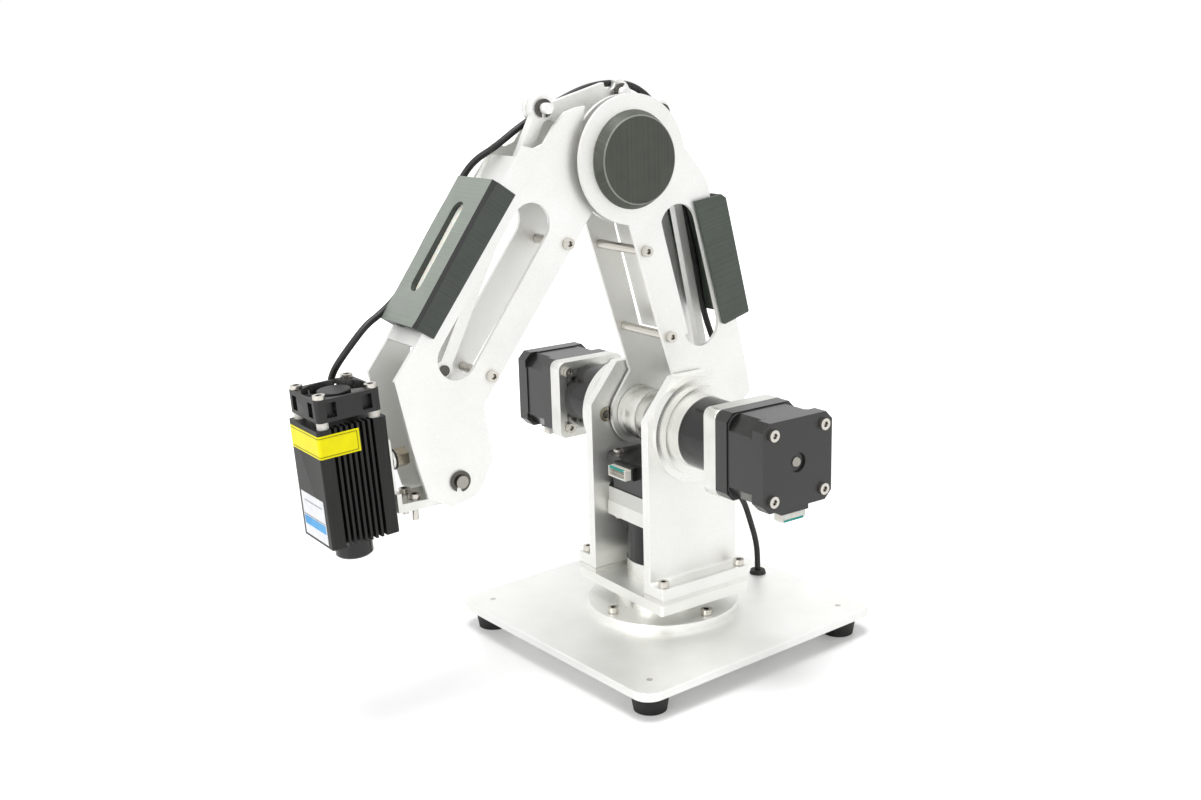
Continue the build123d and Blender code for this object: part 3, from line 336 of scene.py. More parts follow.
def per_mm(size):
    """Scale of a pattern whose details are so many millimetres wide."""
    return 1 / (size * MM)


def relief(tree, shader, height, depth_mm, strength=1.0):
    """Uses a height pattern as a bump of that depth."""
    bump = add(tree, "Bump", Height=height, Distance=depth_mm * MM, Strength=strength)
    tree.links.new(bump.outputs[0], shader.inputs["Normal"])


def shades(tree, shader, value, dark, light, low=0.3, high=0.7):
    """Colours the surface between two shades, as a pattern goes from low to high."""
    ramp = add(tree, "ValToRGB", Fac=value)
    for element, at, code in zip(ramp.color_ramp.elements, (low, high), (dark, light)):
        element.position = at
        element.color = colour(code)
    tree.links.new(ramp.outputs[0], shader.inputs["Base Color"])


def patchy_gloss(tree, shader, value, smooth, dull):
    """Lets the roughness follow a pattern, as fingers and handling leave it."""
    spread = add(tree, "MapRange", Value=value, To_Min=smooth, To_Max=dull)
    tree.links.new(spread.outputs[0], shader.inputs["Roughness"])


# %% [markdown]
# ## Bead-blasted aluminium
#
# The plates, brackets and rods are aluminium that was blasted with fine glass beads and
# then clear anodised. Blasting leaves pits of about 0.1 mm, which scatter light so widely
# that the metal looks almost white. Pits that small are finer than the picture shows, so
# they are drawn at 0.6 mm. A slow second noise gives the faint clouds of the oxide layer.


# %% Blasted aluminium
def blasted_aluminium():
    """Bright matt metal of the plates."""
    made, tree, shader, place = finish("blasted_aluminium", "#F1F1EE", 1.0, 0.5)
    pits = add(tree, "TexNoise", Vector=place, Scale=per_mm(0.6), Detail=3.0)
    clouds = add(tree, "TexNoise", Vector=place, Scale=per_mm(26), Detail=4.0)
    both = {"in2": pits.outputs[0], "in3": clouds.outputs[0]}
    speckle = add(tree, "Mix", data_type="FLOAT", in0=0.5, **both)
    shades(tree, shader, speckle.outputs[0], "#E9E9E5", "#F6F6F4")
    patchy_gloss(tree, shader, clouds.outputs[0], 0.44, 0.56)
    relief(tree, shader, pits.outputs[0], 0.03, 0.8)
    return made


plate_metal = blasted_aluminium()
print("nodes in the plate metal:", len(plate_metal.node_tree.nodes))

# %% [markdown]
# ## Turned and brushed aluminium
#
# The adapter rings, the crank drum and the bearing housing were turned on a lathe. The
# tool leaves fine rings round the axis, so the pattern depends only on the distance from
# the axis and on the place along it. The real tool marks are about 0.1 mm apart and are
# drawn at 0.45 mm. The square flanges and the posts are of the same metal, brushed flat.


# %% Turned aluminium
def turned_aluminium(name, axis, centre):
    """Bright metal with lathe rings round an axis through centre."""
    made, tree, shader, place = finish(name, "#EBEBE7", 1.0, 0.3)
    arm = add(tree, "VectorMath", operation="SUBTRACT", in0=place, in1=centre).outputs[0]
    flat = tuple(0.0 if i == axis else 1.0 for i in range(3))
    across = add(tree, "VectorMath", operation="MULTIPLY", in0=arm, in1=flat).outputs[0]
    radius = add(tree, "VectorMath", operation="LENGTH", in0=across).outputs["Value"]
    along = add(tree, "SeparateXYZ", Vector=arm).outputs[axis]
    path = add(tree, "Math", operation="ADD", in0=radius, in1=along).outputs[0]
    rings = add(tree, "TexNoise", noise_dimensions="1D", W=path, Scale=per_mm(0.45), Detail=2.0)
    patchy_gloss(tree, shader, rings.outputs[0], 0.2, 0.36)
    relief(tree, shader, rings.outputs[0], 0.02, 0.2)
    return made


def brushed_aluminium():
    """Metal with long fine scratches, of flanges and posts."""
    made, tree, shader, place = finish("brushed_aluminium", "#E4E4E0", 1.0, 0.34)
    long_way = add(tree, "VectorMath", operation="MULTIPLY", in0=place, in1=(0.08, 1, 1))
    lines = add(tree, "TexNoise", Vector=long_way.outputs[0], Scale=per_mm(0.5), Detail=2.0)
    clouds = add(tree, "TexNoise", Vector=place, Scale=per_mm(15), Detail=3.0)
    shades(tree, shader, clouds.outputs[0], "#DCDCD7", "#ECECE8")
    patchy_gloss(tree, shader, lines.outputs[0], 0.26, 0.44)
    relief(tree, shader, lines.outputs[0], 0.02, 0.4)
    return made


turned_across = turned_aluminium("turned_aluminium_shoulder", 1, SHOULDER)
turned_upright = turned_aluminium("turned_aluminium_base", 2, (0, 0, 0))
brushed_metal = brushed_aluminium()
print("made:", turned_across.name, turned_upright.name, brushed_metal.name)

# %% [markdown]
# ## Steel of screws and pins
#
# Screws are nickel plated: a smooth bright coat with a slightly warm tone, here and there
# dulled by the driver. Pins and clips are plain ground steel, a little darker. Where little
# light gets in, in the sockets and between parts, the metal is painted darker as painted
# shade. The ambient occlusion node measures that within 1.2 mm.


# %% Plated and ground steel
def plated_steel(name, base, smooth, dull):
    """Bright hard metal with small dull spots, and painted shade in its recesses."""
    made, tree, shader, place = finish(name, base, 1.0, smooth)
    spots = add(tree, "TexNoise", Vector=place, Scale=per_mm(1.6), Detail=3.0)
    # Ambient occlusion paints the colour dark in sockets and recesses: painted shade.
    open_sky = add(tree, "AmbientOcclusion", samples=8, Distance=1.2 * MM).outputs["AO"]
    shades(tree, shader, open_sky, "#1E1C1A", base, 0.35, 0.85)
    patchy_gloss(tree, shader, spots.outputs[0], smooth, dull)
    relief(tree, shader, spots.outputs[0], 0.02, 0.25)
    return made


screw_metal = plated_steel("nickel_plated_steel", "#D2CEC6", 0.14, 0.34)
pin_metal = plated_steel("ground_steel", "#A19E97", 0.16, 0.36)
nut_metal = plated_steel("old_nickel", "#9C9484", 0.2, 0.4)
clip_metal = plated_steel("dark_spring_steel", "#5B5954", 0.14, 0.3)
print("made:", screw_metal.name, pin_metal.name, nut_metal.name, clip_metal.name)

# %% [markdown]
# ## Black finishes
#
# Several blacks meet on this arm. The motor caps are die-cast and painted, with a soft skin
# of orange peel. The motor's middle is a stack of steel sheets of 0.5 mm under the same
# paint, so it shows lines. The upright motor's lower cap was left bare, which leaves a
# pale band over its flange. The gearboxes are round and gloss painted. The laser body is
# extruded aluminium, black anodised: a dry, slightly brown black with lines along the
# extrusion. The fan is moulded plastic, and the feet and the cable's jacket are softer
# and duller than that.


# %% Black paint, anodised black and black plastic
SHEET = 0.5


def stack_paint(name, axis, start, end, bare_below=None):
    """Black paint over cast caps, with sheet lines between two places on an axis, in mm."""
    made, tree, shader, place = finish(
        name, "#131312", 0.0, 0.34, Coat_Weight=0.4, Coat_Roughness=0.14
    )
    peel = add(tree, "TexNoise", Vector=place, Scale=per_mm(0.9), Detail=2.0).outputs[0]
    at = add(tree, "SeparateXYZ", Vector=place).outputs[axis]
    sheets = add(tree, "Math", operation="PINGPONG", in0=at, in1=SHEET * MM).outputs[0]
    sheets = add(tree, "Math", operation="MULTIPLY", in0=sheets, in1=per_mm(SHEET)).outputs[0]
    after = add(tree, "Math", operation="GREATER_THAN", in0=at, in1=start * MM).outputs[0]
    before = add(tree, "Math", operation="LESS_THAN", in0=at, in1=end * MM).outputs[0]
    inside = add(tree, "Math", operation="MULTIPLY", in0=after, in1=before).outputs[0]
    height = add(tree, "Mix", data_type="FLOAT", in0=inside, in2=peel, in3=sheets).outputs[0]
    patchy_gloss(tree, shader, peel, 0.32, 0.44)
    relief(tree, shader, height, 0.05, 0.5)
    if bare_below is not None:
        bare = add(tree, "Math", operation="LESS_THAN", in0=at, in1=bare_below * MM)
        shades(tree, shader, bare.outputs[0], "#161615", "#C9C9C4")
        tree.links.new(bare.outputs[0], shader.inputs["Metallic"])
    return made


def anodised_black():
    """Dry black of the laser body, drawn out along its height."""
    made, tree, shader, place = finish("black_anodised", "#1B1B19", 0.35, 0.4)
    squeeze = add(tree, "VectorMath", operation="MULTIPLY", in0=place, in1=(1, 1, 0.04))
    lines = add(tree, "TexNoise", Vector=squeeze.outputs[0], Scale=per_mm(0.7), Detail=2.0)
    shades(tree, shader, lines.outputs[0], "#141413", "#232321")
    patchy_gloss(tree, shader, lines.outputs[0], 0.34, 0.48)
    relief(tree, shader, lines.outputs[0], 0.02, 0.4)
    return made


def moulded_black(name, base, rough, grain_mm):
    """Black moulded plastic, rubber or paint with a fine even grain."""
    made, tree, shader, place = finish(name, base, 0.0, rough)
    grain = add(tree, "TexNoise", Vector=place, Scale=per_mm(grain_mm), Detail=2.0)
    patchy_gloss(tree, shader, grain.outputs[0], rough - 0.06, rough + 0.08)
    relief(tree, shader, grain.outputs[0], 0.03, 0.5)
    return made


STACK_START, STACK_END = 78.8, 95.3
YAW_START, YAW_END = 79.8, 88.8
near_paint = stack_paint("motor_paint_near", 1, STACK_START, STACK_END)
far_paint = stack_paint("motor_paint_far", 1, -STACK_END, -STACK_START)
yaw_paint = stack_paint("motor_paint_yaw", 2, YAW_START, YAW_END, bare_below=YAW_START)
gear_paint = moulded_black("gloss_black_paint", "#121312", 0.18, 1.4)
laser_black = anodised_black()
fan_black = moulded_black("black_nylon", "#171716", 0.42, 0.6)
foot_rubber = moulded_black("black_rubber", "#151514", 0.6, 0.5)
jacket = moulded_black("black_pvc_jacket", "#131312", 0.45, 0.8)
print("sheets in a shoulder motor:", round((STACK_END - STACK_START) / SHEET))

# %% [markdown]
# ## Printed plastic
#
# The covers and the round elbow caps come from a 3-D printer. Its nozzle lays threads of
# 0.25 mm side by side, which show as even lines and catch the light like a fine file.
# They are drawn at 0.8 mm. On the covers the lines run across the link, and on the caps
# they stand upright. The top of the forearm's cover is a shiny skin whose much paler colour
# is a painted highlight of the light on it, the squashed seam beside it is nearly black,
# and the caps have a pale rim that is a painted highlight along their edge.


# %% Printed plastic
def printed_plastic(name, dark, light, direction, rough=0.5):
    """Matt plastic with print lines that follow each other along a direction."""
    made, tree, shader, place = finish(name, dark, 0.0, rough)
    step = add(tree, "VectorMath", operation="DOT_PRODUCT", in0=place, in1=direction)
    threads = add(tree, "TexNoise", noise_dimensions="1D", Scale=per_mm(0.8), Detail=2.0)
    tree.links.new(step.outputs["Value"], threads.inputs["W"])
    cloud = add(tree, "TexNoise", Vector=place, Scale=per_mm(9), Detail=3.0).outputs[0]
    mixed = add(tree, "Mix", data_type="FLOAT", in0=0.35, in2=threads.outputs[0], in3=cloud)
    shades(tree, shader, mixed.outputs[0], dark, light)
    patchy_gloss(tree, shader, threads.outputs[0], rough - 0.1, rough + 0.12)
    relief(tree, shader, threads.outputs[0], 0.06, 0.6)
    return made


def direction_of(degrees):
    """Unit vector along a link."""
    turn = math.radians(degrees)
    return (math.cos(turn), 0.0, math.sin(turn))


down_forearm, up_lower_arm = direction_of(FOREARM_DEG), direction_of(LOWER_DEG)
forearm_print = printed_plastic("printed_grey_forearm", "#383D38", "#474D47", down_forearm)
# Paler copy of the cover's grey for its top faces: a painted highlight of the light on the top, with the lower
# roughness of the shiny top skin.
forearm_top_highlight = printed_plastic("printed_grey_top_painted_highlight", "#798078", "#878E86", down_forearm, 0.4)
edge_print = printed_plastic("printed_dark_seam", "#050605", "#0B0C0B", down_forearm)
lower_print = printed_plastic("printed_grey_lower", "#3F463F", "#50584F", up_lower_arm)
cap_print = printed_plastic("printed_charcoal_cap", "#373932", "#4A4D44", (1.0, 0.35, 0.0))
# Paler copy of the cap plastic for the rim bevel: a painted highlight along the caps' edge.
cap_rim_highlight = printed_plastic("printed_cap_rim_painted_highlight", "#7B7E75", "#90938A", (1.0, 0.35, 0.0), 0.35)
print("lines on the forearm's cover run across:", [round(v, 3) for v in down_forearm])

# %% [markdown]
# ## Nylon and labels
#
# The fan stands on four spacers of natural nylon, a milky plastic that lets some light
# into it. The plug sockets of the motors are of the same stuff. The two stickers on the
# laser are plain coloured film: yellow round the top, and white with a blue band below.


# %% Nylon and label film
def milky_nylon():
    """Whitish plastic with light inside it."""
    made, tree, shader, place = finish(
        "natural_nylon", "#E3E2DA", 0.0, 0.38, Subsurface_Weight=0.25, Subsurface_Scale=1 * MM
    )
    specks = add(tree, "TexNoise", Vector=place, Scale=per_mm(1.2), Detail=2.0)
    shades(tree, shader, specks.outputs[0], "#DDDCD2", "#ECEBE4")
    relief(tree, shader, specks.outputs[0], 0.02, 0.3)
    return made


def label_film(name, dark, light):
    """Thin glossy film of a sticker, slightly uneven from the surface below it."""
    made, tree, shader, place = finish(name, light, 0.0, 0.36, Specular_IOR_Level=0.2)
    wave = add(tree, "TexNoise", Vector=place, Scale=per_mm(5), Detail=2.0)
    shades(tree, shader, wave.outputs[0], dark, light)
    relief(tree, shader, wave.outputs[0], 0.04, 0.3)
    return made


nylon = milky_nylon()
yellow_film = label_film("yellow_label_film", "#F2E600", "#FAF004")
white_film = label_film("white_label_film", "#E6E8EC", "#F4F5F7")
blue_film = label_film("blue_label_film", "#3E9BDC", "#5DB2EA")
seam_ink = label_film("olive_label_ink", "#6A6600", "#7A7600")
grey_film = label_film("grey_label_ink", "#8A8E94", "#9AA0A8")
teal_plastic = label_film("teal_plastic", "#1F8C84", "#2FA79C")
print("materials so far:", len(bpy.data.materials))

# %% [markdown]
# ## Finishes onto the CAD nodes
#
# A CAD node keeps its mesh and gets its finish by its material slots. Real edges are
# never perfectly sharp, and a narrow bevel catches a line of light, so each hard piece is
# welded and bevelled by a few tenths of a millimetre, with normals that stay flat on the
# faces. These are modifiers, so the mesh below them stays as it came.

# %% Material of each node
by_finish = {
    plate_metal: """base_plate base_flange turntable_plate near_bracket far_bracket level_post
        lower_near_plate lower_far_plate lower_web drive_rod level_rod elbow_triangle
        forearm_near_plate forearm_far_plate forearm_web upper_rod""",
    brushed_metal: "bracket_shims gearbox_flanges wrist_bracket",
    turned_across: "motor_adapters crank_hub shoulder_hub",
    turned_upright: "base_hub",
    screw_metal: """turntable_screws motor_screws head_screws wrist_fixings base_screws
        lower_standoffs forearm_standoffs""",
    pin_metal: """near_motor_shaft far_motor_shaft yaw_motor_shaft elbow_shaft crank_pin
        wrist_shaft""",
    clip_metal: "triangle_clips wrist_rings",
    near_paint: "near_motor",
    far_paint: "far_motor",
    yaw_paint: "yaw_motor",
    gear_paint: "gearboxes laser_lens",
    laser_black: "laser_body",
    fan_black: "fan_frame fan_rotor",
    foot_rubber: "rubber_feet cable_grommet",
    forearm_print: "forearm_cover",
    lower_print: "lower_cover",
    cap_print: "elbow_caps",
    nylon: "fan_spacers motor_connectors",
    jacket: """cable_wrist cable_forearm cable_elbow_front cable_elbow_rear cable_arm
        cable_shoulder cable_tail""",
}
finished = {}
for material, names in by_finish.items():
    for name in names.split():
        finished[name] = material
missing = sorted(set(nodes) - set(finished))
print("nodes without a finish:", missing)


def paint(obj, material):
    """Gives an object one material in all its slots."""
    if not obj.data.materials:
        obj.data.materials.append(material)
    for slot in obj.material_slots:
        slot.material = material


for name, obj in nodes.items():
    paint(obj, finished[name])

# %% [markdown]
# The width of the bevel says how a piece was made: plates broken with a file have 0.35
# mm, small milled pieces 0.25 mm, and the printed caps a wide rim of 0.45 mm in a paler
# colour of its own, a painted highlight along their edge. The long link plates are left
# sharp, as they come from the cutter.

# %% Narrow bevels
WELD = 0.002
BEVEL_FROM = math.radians(38)


def ease_edges(obj, width_mm):
    """Welds and bevels an object without touching its mesh."""
    obj.modifiers.new("weld", "WELD").merge_threshold = WELD * MM
    bevel = obj.modifiers.new("eased_edges", "BEVEL")
    bevel.width = width_mm * MM
    bevel.segments = 2
    bevel.limit_method = "ANGLE"
    bevel.angle_limit = BEVEL_FROM
    bevel.use_clamp_overlap = True
    bevel.harden_normals = True
    return bevel


EDGES = {
    0.35: "base_flange turntable_plate near_bracket far_bracket",
    0.25: "drive_rod level_rod upper_rod elbow_triangle level_post gearbox_flanges laser_body",
}
for width, names in EDGES.items():
    for name in names.split():
        ease_edges(nodes[name], width)
# The caps' rim bevel takes the paler material: a painted highlight along the edge.
nodes["elbow_caps"].data.materials.append(cap_rim_highlight)
rim = ease_edges(nodes["elbow_caps"], 0.45)
rim.material = 1
rim.use_clamp_overlap = False
print("bevelled nodes:", 1 + sum(len(v.split()) for v in EDGES.values()))


# %% [markdown]
# ## Pieces that stand for a node
#
# Some CAD solids are simpler than the real pieces: the printed covers, the fan frame, the
# motors with their sockets, and the bracket at the wrist. Each gets a copy of its mesh,
# from which cutters take the details away. A cutter is a slot or a block that exists only
# while the cut is made.


# %% Helpers for cut copies
SQUARE = ((1, 1), (-1, 1), (-1, -1), (1, -1))


def new_object(name, data, material):
    """Links a new object with one material."""
    obj = bpy.data.objects.new(name, data)
    bpy.context.scene.collection.objects.link(obj)
    paint(obj, material)
    return obj


def prism(name, outline, sweep, material):
    """Closed solid between an outline of points and the same outline moved by sweep."""
    mesh = bmesh.new()
    base = [mesh.verts.new(point) for point in outline]
    face = mesh.faces.new(base)
    grown = bmesh.ops.extrude_face_region(mesh, geom=[face])["geom"]
    moved = [item for item in grown if isinstance(item, bmesh.types.BMVert)]
    bmesh.ops.translate(mesh, vec=sweep, verts=moved)
    bmesh.ops.recalc_face_normals(mesh, faces=mesh.faces)
    data = bpy.data.meshes.new(name)
    mesh.to_mesh(data)
    mesh.free()
    return new_object(name, data, material)


def applied(obj):
    """Turns an object's modifiers into its mesh."""
    seen = bpy.context.evaluated_depsgraph_get()
    bpy.context.view_layer.update()
    data = bpy.data.meshes.new_from_object(obj.evaluated_get(seen))
    obj.modifiers.clear()
    obj.data = data
    return obj


def cut(obj, cutters):
    """Takes the cutters away from an object and removes them."""
    for cutter in cutters:
        boolean = obj.modifiers.new("cut", "BOOLEAN")
        boolean.operation = "DIFFERENCE"
        boolean.solver = "EXACT"
        boolean.object = cutter
    applied(obj)
    for cutter in cutters:
        bpy.data.objects.remove(cutter)
    return obj


def copy_of(node, name, material):
    """A welded copy of a CAD node's mesh, as an object of its own."""
    obj = new_object(name, nodes[node].data.copy(), material)
    obj.modifiers.new("weld", "WELD").merge_threshold = WELD * MM
    return applied(obj)


def slot_outline(place, length, width, steps=10):
    """Points round a slot with half-round ends; place makes a point of two distances."""
    reach, radius = (length - width) / 2, width / 2
    points = []
    for side in (1, -1):
        for i in range(steps + 1):
            turn = math.pi * (i / steps - 0.5)
            a = side * (reach + radius * math.cos(turn))
            points.append(place(a, side * radius * math.sin(turn)))
    return points


# %% [markdown]
# ### The forearm's cover
#
# The cover is a long saddle over the upper edges of the forearm. It has a slot in its
# top, through which a white liner shows. Its lower end is drawn out towards the
# far side, where the cable runs in, so the end is cut across three times and only the
# last stretch of the mesh bends out.

# %% Forearm cover with its slot
COVER_FLOOR = 50.5
SLOT_ALONG, SLOT_ACROSS, SLOT_LENGTH, SLOT_WIDTH = 81.0, -1.5, 46.0, 8.8


def cover_block(name, low, high, half, over, thick, material):
    """Flat block between two places along the forearm, so high over its axis, in mm."""
    spots = ((low, -half), (high, -half), (high, half), (low, half))
    corners = [on_link(ELBOW, FOREARM_DEG, a, over, b) for a, b in spots]
    return prism(name, corners, on_link(Vector(), FOREARM_DEG, 0, thick, 0), material)


def slot_place(a, b):
    """Point of the slot, from its middle."""
    return on_link(ELBOW, FOREARM_DEG, SLOT_ALONG + a, COVER_FLOOR, SLOT_ACROSS + b)


forearm_cover = copy_of("forearm_cover", "forearm_cover_printed", forearm_print)
outline = slot_outline(slot_place, SLOT_LENGTH, SLOT_WIDTH)
slot = prism("slot", outline, on_link(Vector(), FOREARM_DEG, 0, 14, 0), forearm_print)
hollow = cover_block("hollow", 54, 108, 8.5, COVER_FLOOR, 4.8, forearm_print)
cut(forearm_cover, [slot, hollow])
print("faces after the cut:", len(forearm_cover.data.polygons))

# %% [markdown]
# The edge between the top and the near side is a squashed seam, bevelled in its own dark
# plastic, and every face that looks straight up from the link gets the much paler grey, a
# painted highlight of the light on the top.

# %% Forearm cover's bent end, seam and painted top highlight
BEND_START, BEND_END, BEND_OUT = 104.0, 120.0, 1.8
FAR_SIDE, NEAR_SIDE, SEAM_WIDTH = -10.0, 15.5, 1.6
mesh = bmesh.new()
mesh.from_mesh(forearm_cover.data)
link_dir = Vector(direction_of(FOREARM_DEG))
for along in (BEND_START, 109.0, 114.0):
    bmesh.ops.bisect_plane(
        mesh,
        geom=[*mesh.verts, *mesh.edges, *mesh.faces],
        plane_co=on_link(ELBOW, FOREARM_DEG, along, 0, 0),
        plane_no=link_dir,
    )
for vert in mesh.verts:
    along = (vert.co - ELBOW).dot(link_dir) / MM
    bend = max(0.0, (along - BEND_START) / (BEND_END - BEND_START)) ** 2
    if vert.co.y < FAR_SIDE * MM:
        vert.co.y -= BEND_OUT * MM * bend
top_way = on_link(Vector(), FOREARM_DEG, 0, 1, 0).normalized()
mesh.normal_update()
seam = []
for edge in mesh.edges:
    tops = [face.normal.dot(top_way) > 0.9 for face in edge.link_faces]
    near = all(vert.co.y > NEAR_SIDE * MM for vert in edge.verts)
    if near and len(tops) == 2 and tops[0] != tops[1]:
        seam.append(edge)
print("seam edges:", len(seam))
offset = SEAM_WIDTH * MM
bmesh.ops.bevel(mesh, geom=seam, offset=offset, segments=1, affect="EDGES", material=2)
mesh.normal_update()
# Faces that look straight up get the paler material 1: a painted highlight on the top.
for face in mesh.faces:
    if face.material_index != 2 and face.normal.dot(top_way) > 0.9:
        face.material_index = 1
mesh.to_mesh(forearm_cover.data)
mesh.free()
forearm_cover.data.materials.append(forearm_top_highlight)
forearm_cover.data.materials.append(edge_print)
ease_edges(forearm_cover, 0.3)
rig.ride(forearm_cover, "forearm")
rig.replaces(forearm_cover, "forearm_cover")
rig.slot(forearm_cover, "printed_grey")

liner = cover_block("cover_liner", 56, 106, 8.2, 54.7, 0.5, nylon)
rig.ride(liner, "forearm")
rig.slot(liner, "nylon_white")
print("forearm cover faces:", len(forearm_cover.data.polygons))

# %% [markdown]
# ### The lower arm's cover
#
# It is the same kind of saddle over the rear edges of the lower arm. It has no slot, only
# softly rounded edges.

# %% Lower cover
lower_cover = copy_of("lower_cover", "lower_cover_printed", lower_print)
ease_edges(lower_cover, 0.7)
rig.ride(lower_cover, "lower_arm")
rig.replaces(lower_cover, "lower_cover")
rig.slot(lower_cover, "printed_grey")
print("lower cover faces:", len(lower_cover.data.polygons))

# %% [markdown]
# ### The fan's frame
#
# A small axial fan has a square frame with a screw post in each corner. To save plastic,
# the mould leaves a pocket beside each post. Eight small blocks cut the pockets.

# %% Fan frame with pockets
POCKET = ((6.0, 12.2), (10.6, 12.2), (10.6, 17.0), (6.0, 17.0))
POCKET_LOW, POCKET_H = 58.6, 6.6
rise = head.to_3x3() @ Vector((0, 0, POCKET_H * MM))
pockets = []
for turn in range(4):
    spin = Matrix.Rotation(math.pi / 2 * turn, 4, "Z")
    for side in (1, -1):
        flat = [spin @ Vector((side * x, y, POCKET_LOW)) for x, y in POCKET]
        outline = [head @ (point * MM) for point in flat]
        pockets.append(prism("pocket", outline, rise, fan_black))
fan_frame = copy_of("fan_frame", "fan_frame_moulded", fan_black)
cut(fan_frame, pockets)
ease_edges(fan_frame, 0.3)
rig.ride(fan_frame, "wrist")
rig.replaces(fan_frame, "fan_frame")
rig.slot(fan_frame, "plastic_black")
print("fan frame faces:", len(fan_frame.data.polygons))


# %% [markdown]
# ## Stickers on the laser
#
# A sticker is a film of about 0.1 mm. The yellow one starts on the far edge of the front
# face, turns round the near corner and ends on the finned side, where it bridges the
# grooves. It is one strip of quads that follows the corner in an arc, given a thickness
# by a Solidify modifier. An olive line runs along its edges. The lower sticker is a white
# field with a blue band and two thin grey rules.

# %% Sticker strips
FILM = 0.12
CORNER = 1.2
FRONT_STEPS, CORNER_STEPS, SIDE_STEPS = 4, 6, 5


def film_strip(name, path, low, high, material):
    """A film along a path of points in the head's frame, between two heights."""
    mesh = bmesh.new()
    heights = (low, (low + high) / 2, high)
    columns = [[mesh.verts.new(on_head(x, y, z)) for z in heights] for x, y in path]
    for one, two in zip(columns, columns[1:]):
        for i in range(2):
            mesh.faces.new((one[i], two[i], two[i + 1], one[i + 1]))
    bmesh.ops.recalc_face_normals(mesh, faces=mesh.faces)
    data = bpy.data.meshes.new(name)
    mesh.to_mesh(data)
    mesh.free()
    obj = new_object(name, data, material)
    thick = obj.modifiers.new("film", "SOLIDIFY")
    thick.thickness = FILM * MM
    thick.offset = 0
    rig.ride(obj, "wrist")
    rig.slot(obj, "printed_dark")
    return obj


def front_path(y_from, y_to, out):
    """Straight path over the front face, that far in front of it."""
    x = LASER_W / 2 + out
    return [(x, y_from + (y_to - y_from) * i / FRONT_STEPS) for i in range(FRONT_STEPS + 1)]


# %% [markdown]
# The films lie 0.02 mm off the surface, and what is printed on them a little further out,
# so that no two faces share a place.

# %% Yellow and white stickers
film_out = FILM / 2 + 0.02
print_out = 2.6 * film_out
reach_x, reach_y = LASER_W / 2 - CORNER, LASER_D / 2 - CORNER
corner_r = CORNER + film_out
corner = []
for i in range(CORNER_STEPS + 1):
    turn = math.pi / 2 * i / CORNER_STEPS
    corner.append((reach_x + corner_r * math.cos(turn), reach_y + corner_r * math.sin(turn)))
side_y = LASER_D / 2 + film_out
wrap = front_path(-reach_y, reach_y, film_out) + corner[1:]
wrap += [(reach_x - 17.6 * i / SIDE_STEPS, side_y) for i in range(1, SIDE_STEPS + 1)]
film_strip("yellow_sticker", wrap, 41.4, 51.6, yellow_film)

lift, side_start = print_out - film_out, FRONT_STEPS + CORNER_STEPS + 1
border = []
for i, (x, y) in enumerate(wrap):
    border.append((x + lift * (i <= side_start), y + lift * (i > FRONT_STEPS)))
border[0] = (border[0][0], border[0][1] + 1.0)
border[-1] = (border[-1][0] + 1.0, border[-1][1])
line_end = [border[-1], (border[-1][0] + 0.25, border[-1][1])]
film_strip("sticker_line_top", border, 50.5, 50.75, seam_ink)
film_strip("sticker_line_low", border, 42.25, 42.5, seam_ink)
film_strip("sticker_line_end", line_end, 42.25, 50.75, seam_ink)

inner = front_path(-11.4, 10.6, print_out)
film_strip("white_sticker", front_path(-12.2, 11.4, film_out), 1.3, 21.5, white_film)
film_strip("sticker_band", inner, 6.2, 10.2, blue_film)
film_strip("sticker_rule_top", inner, 10.7, 11.1, grey_film)
film_strip("sticker_rule_low", front_path(-9.0, 9.0, print_out), 17.6, 18.0, grey_film)
print("points along the yellow strip:", len(wrap))


# %% [markdown]
# ## Plug sockets of the motors
#
# Each motor has a socket for six wires: a nylon box, open to the outside, with a row of
# bright pins in it and a teal key strip along one wall of its mouth. The box is a block
# with a mouth cut into it, and the pins and the strip are small prisms.

# %% Socket with pins
PINS, PIN_PITCH = 6, 2.0


def socket_box(name, centre, long_way, out_way, body):
    """Open nylon box with its pins; centre is the middle of its inner face, in mm."""
    long_dir, out_dir = Vector(long_way), Vector(out_way)
    third = long_dir.cross(out_dir)

    def place(a, b, c):
        return (Vector(centre) + long_dir * a + third * b + out_dir * c) * MM

    def block(part, size, low, high, material):
        corners = [place(i * size[0], j * size[1], low) for i, j in SQUARE]
        return prism(part, corners, out_dir * (high - low) * MM, material)

    shell = block(name, (7.25, 2.7), 0.05, 4.0, nylon)
    cut(shell, [block("mouth", (6.4, 1.9), 0.8, 6.0, nylon)])
    ease_edges(shell, 0.2)
    made = [shell]
    for i in range(PINS):
        pin_at = PIN_PITCH * (i - (PINS - 1) / 2)
        corners = [place(pin_at + a * 0.28, b * 0.28, 0.7) for a, b in SQUARE]
        made.append(prism(f"{name}_pin_{i}", corners, out_dir * 2.6 * MM, screw_metal))
    strip = [place(a * 6.0, 2.27 + b * 0.5, 3.1) for a, b in SQUARE]
    made.append(prism(f"{name}_key", strip, out_dir * 1.05 * MM, teal_plastic))
    for obj in made:
        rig.ride(obj, body)
        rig.slot(obj, "nylon_white")
    return shell


socket_box("yaw_socket", (24.15, 0, 92.0), (0, -1, 0), (1, 0, 0), "turntable")
socket_box("near_socket", (0, 97.5, 92.2), (1, 0, 0), (0, 0, -1), "turntable")
far_socket = socket_box("far_socket", (0, -97.5, 92.2), (-1, 0, 0), (0, 0, -1), "turntable")
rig.replaces(far_socket, "motor_connectors")
print("pins in all:", sum("_pin_" in obj.name for obj in bpy.data.objects))

# %% [markdown]
# ## Motors with cut corners
#
# Between its two caps a motor is a stack of sheets whose corners are cut off wide, which
# leaves a flat facet at each corner. Four long wedges cut them from a copy of each motor.


# %% Motors
WEDGE_OUT, WEDGE_IN = 22.5, 11.5


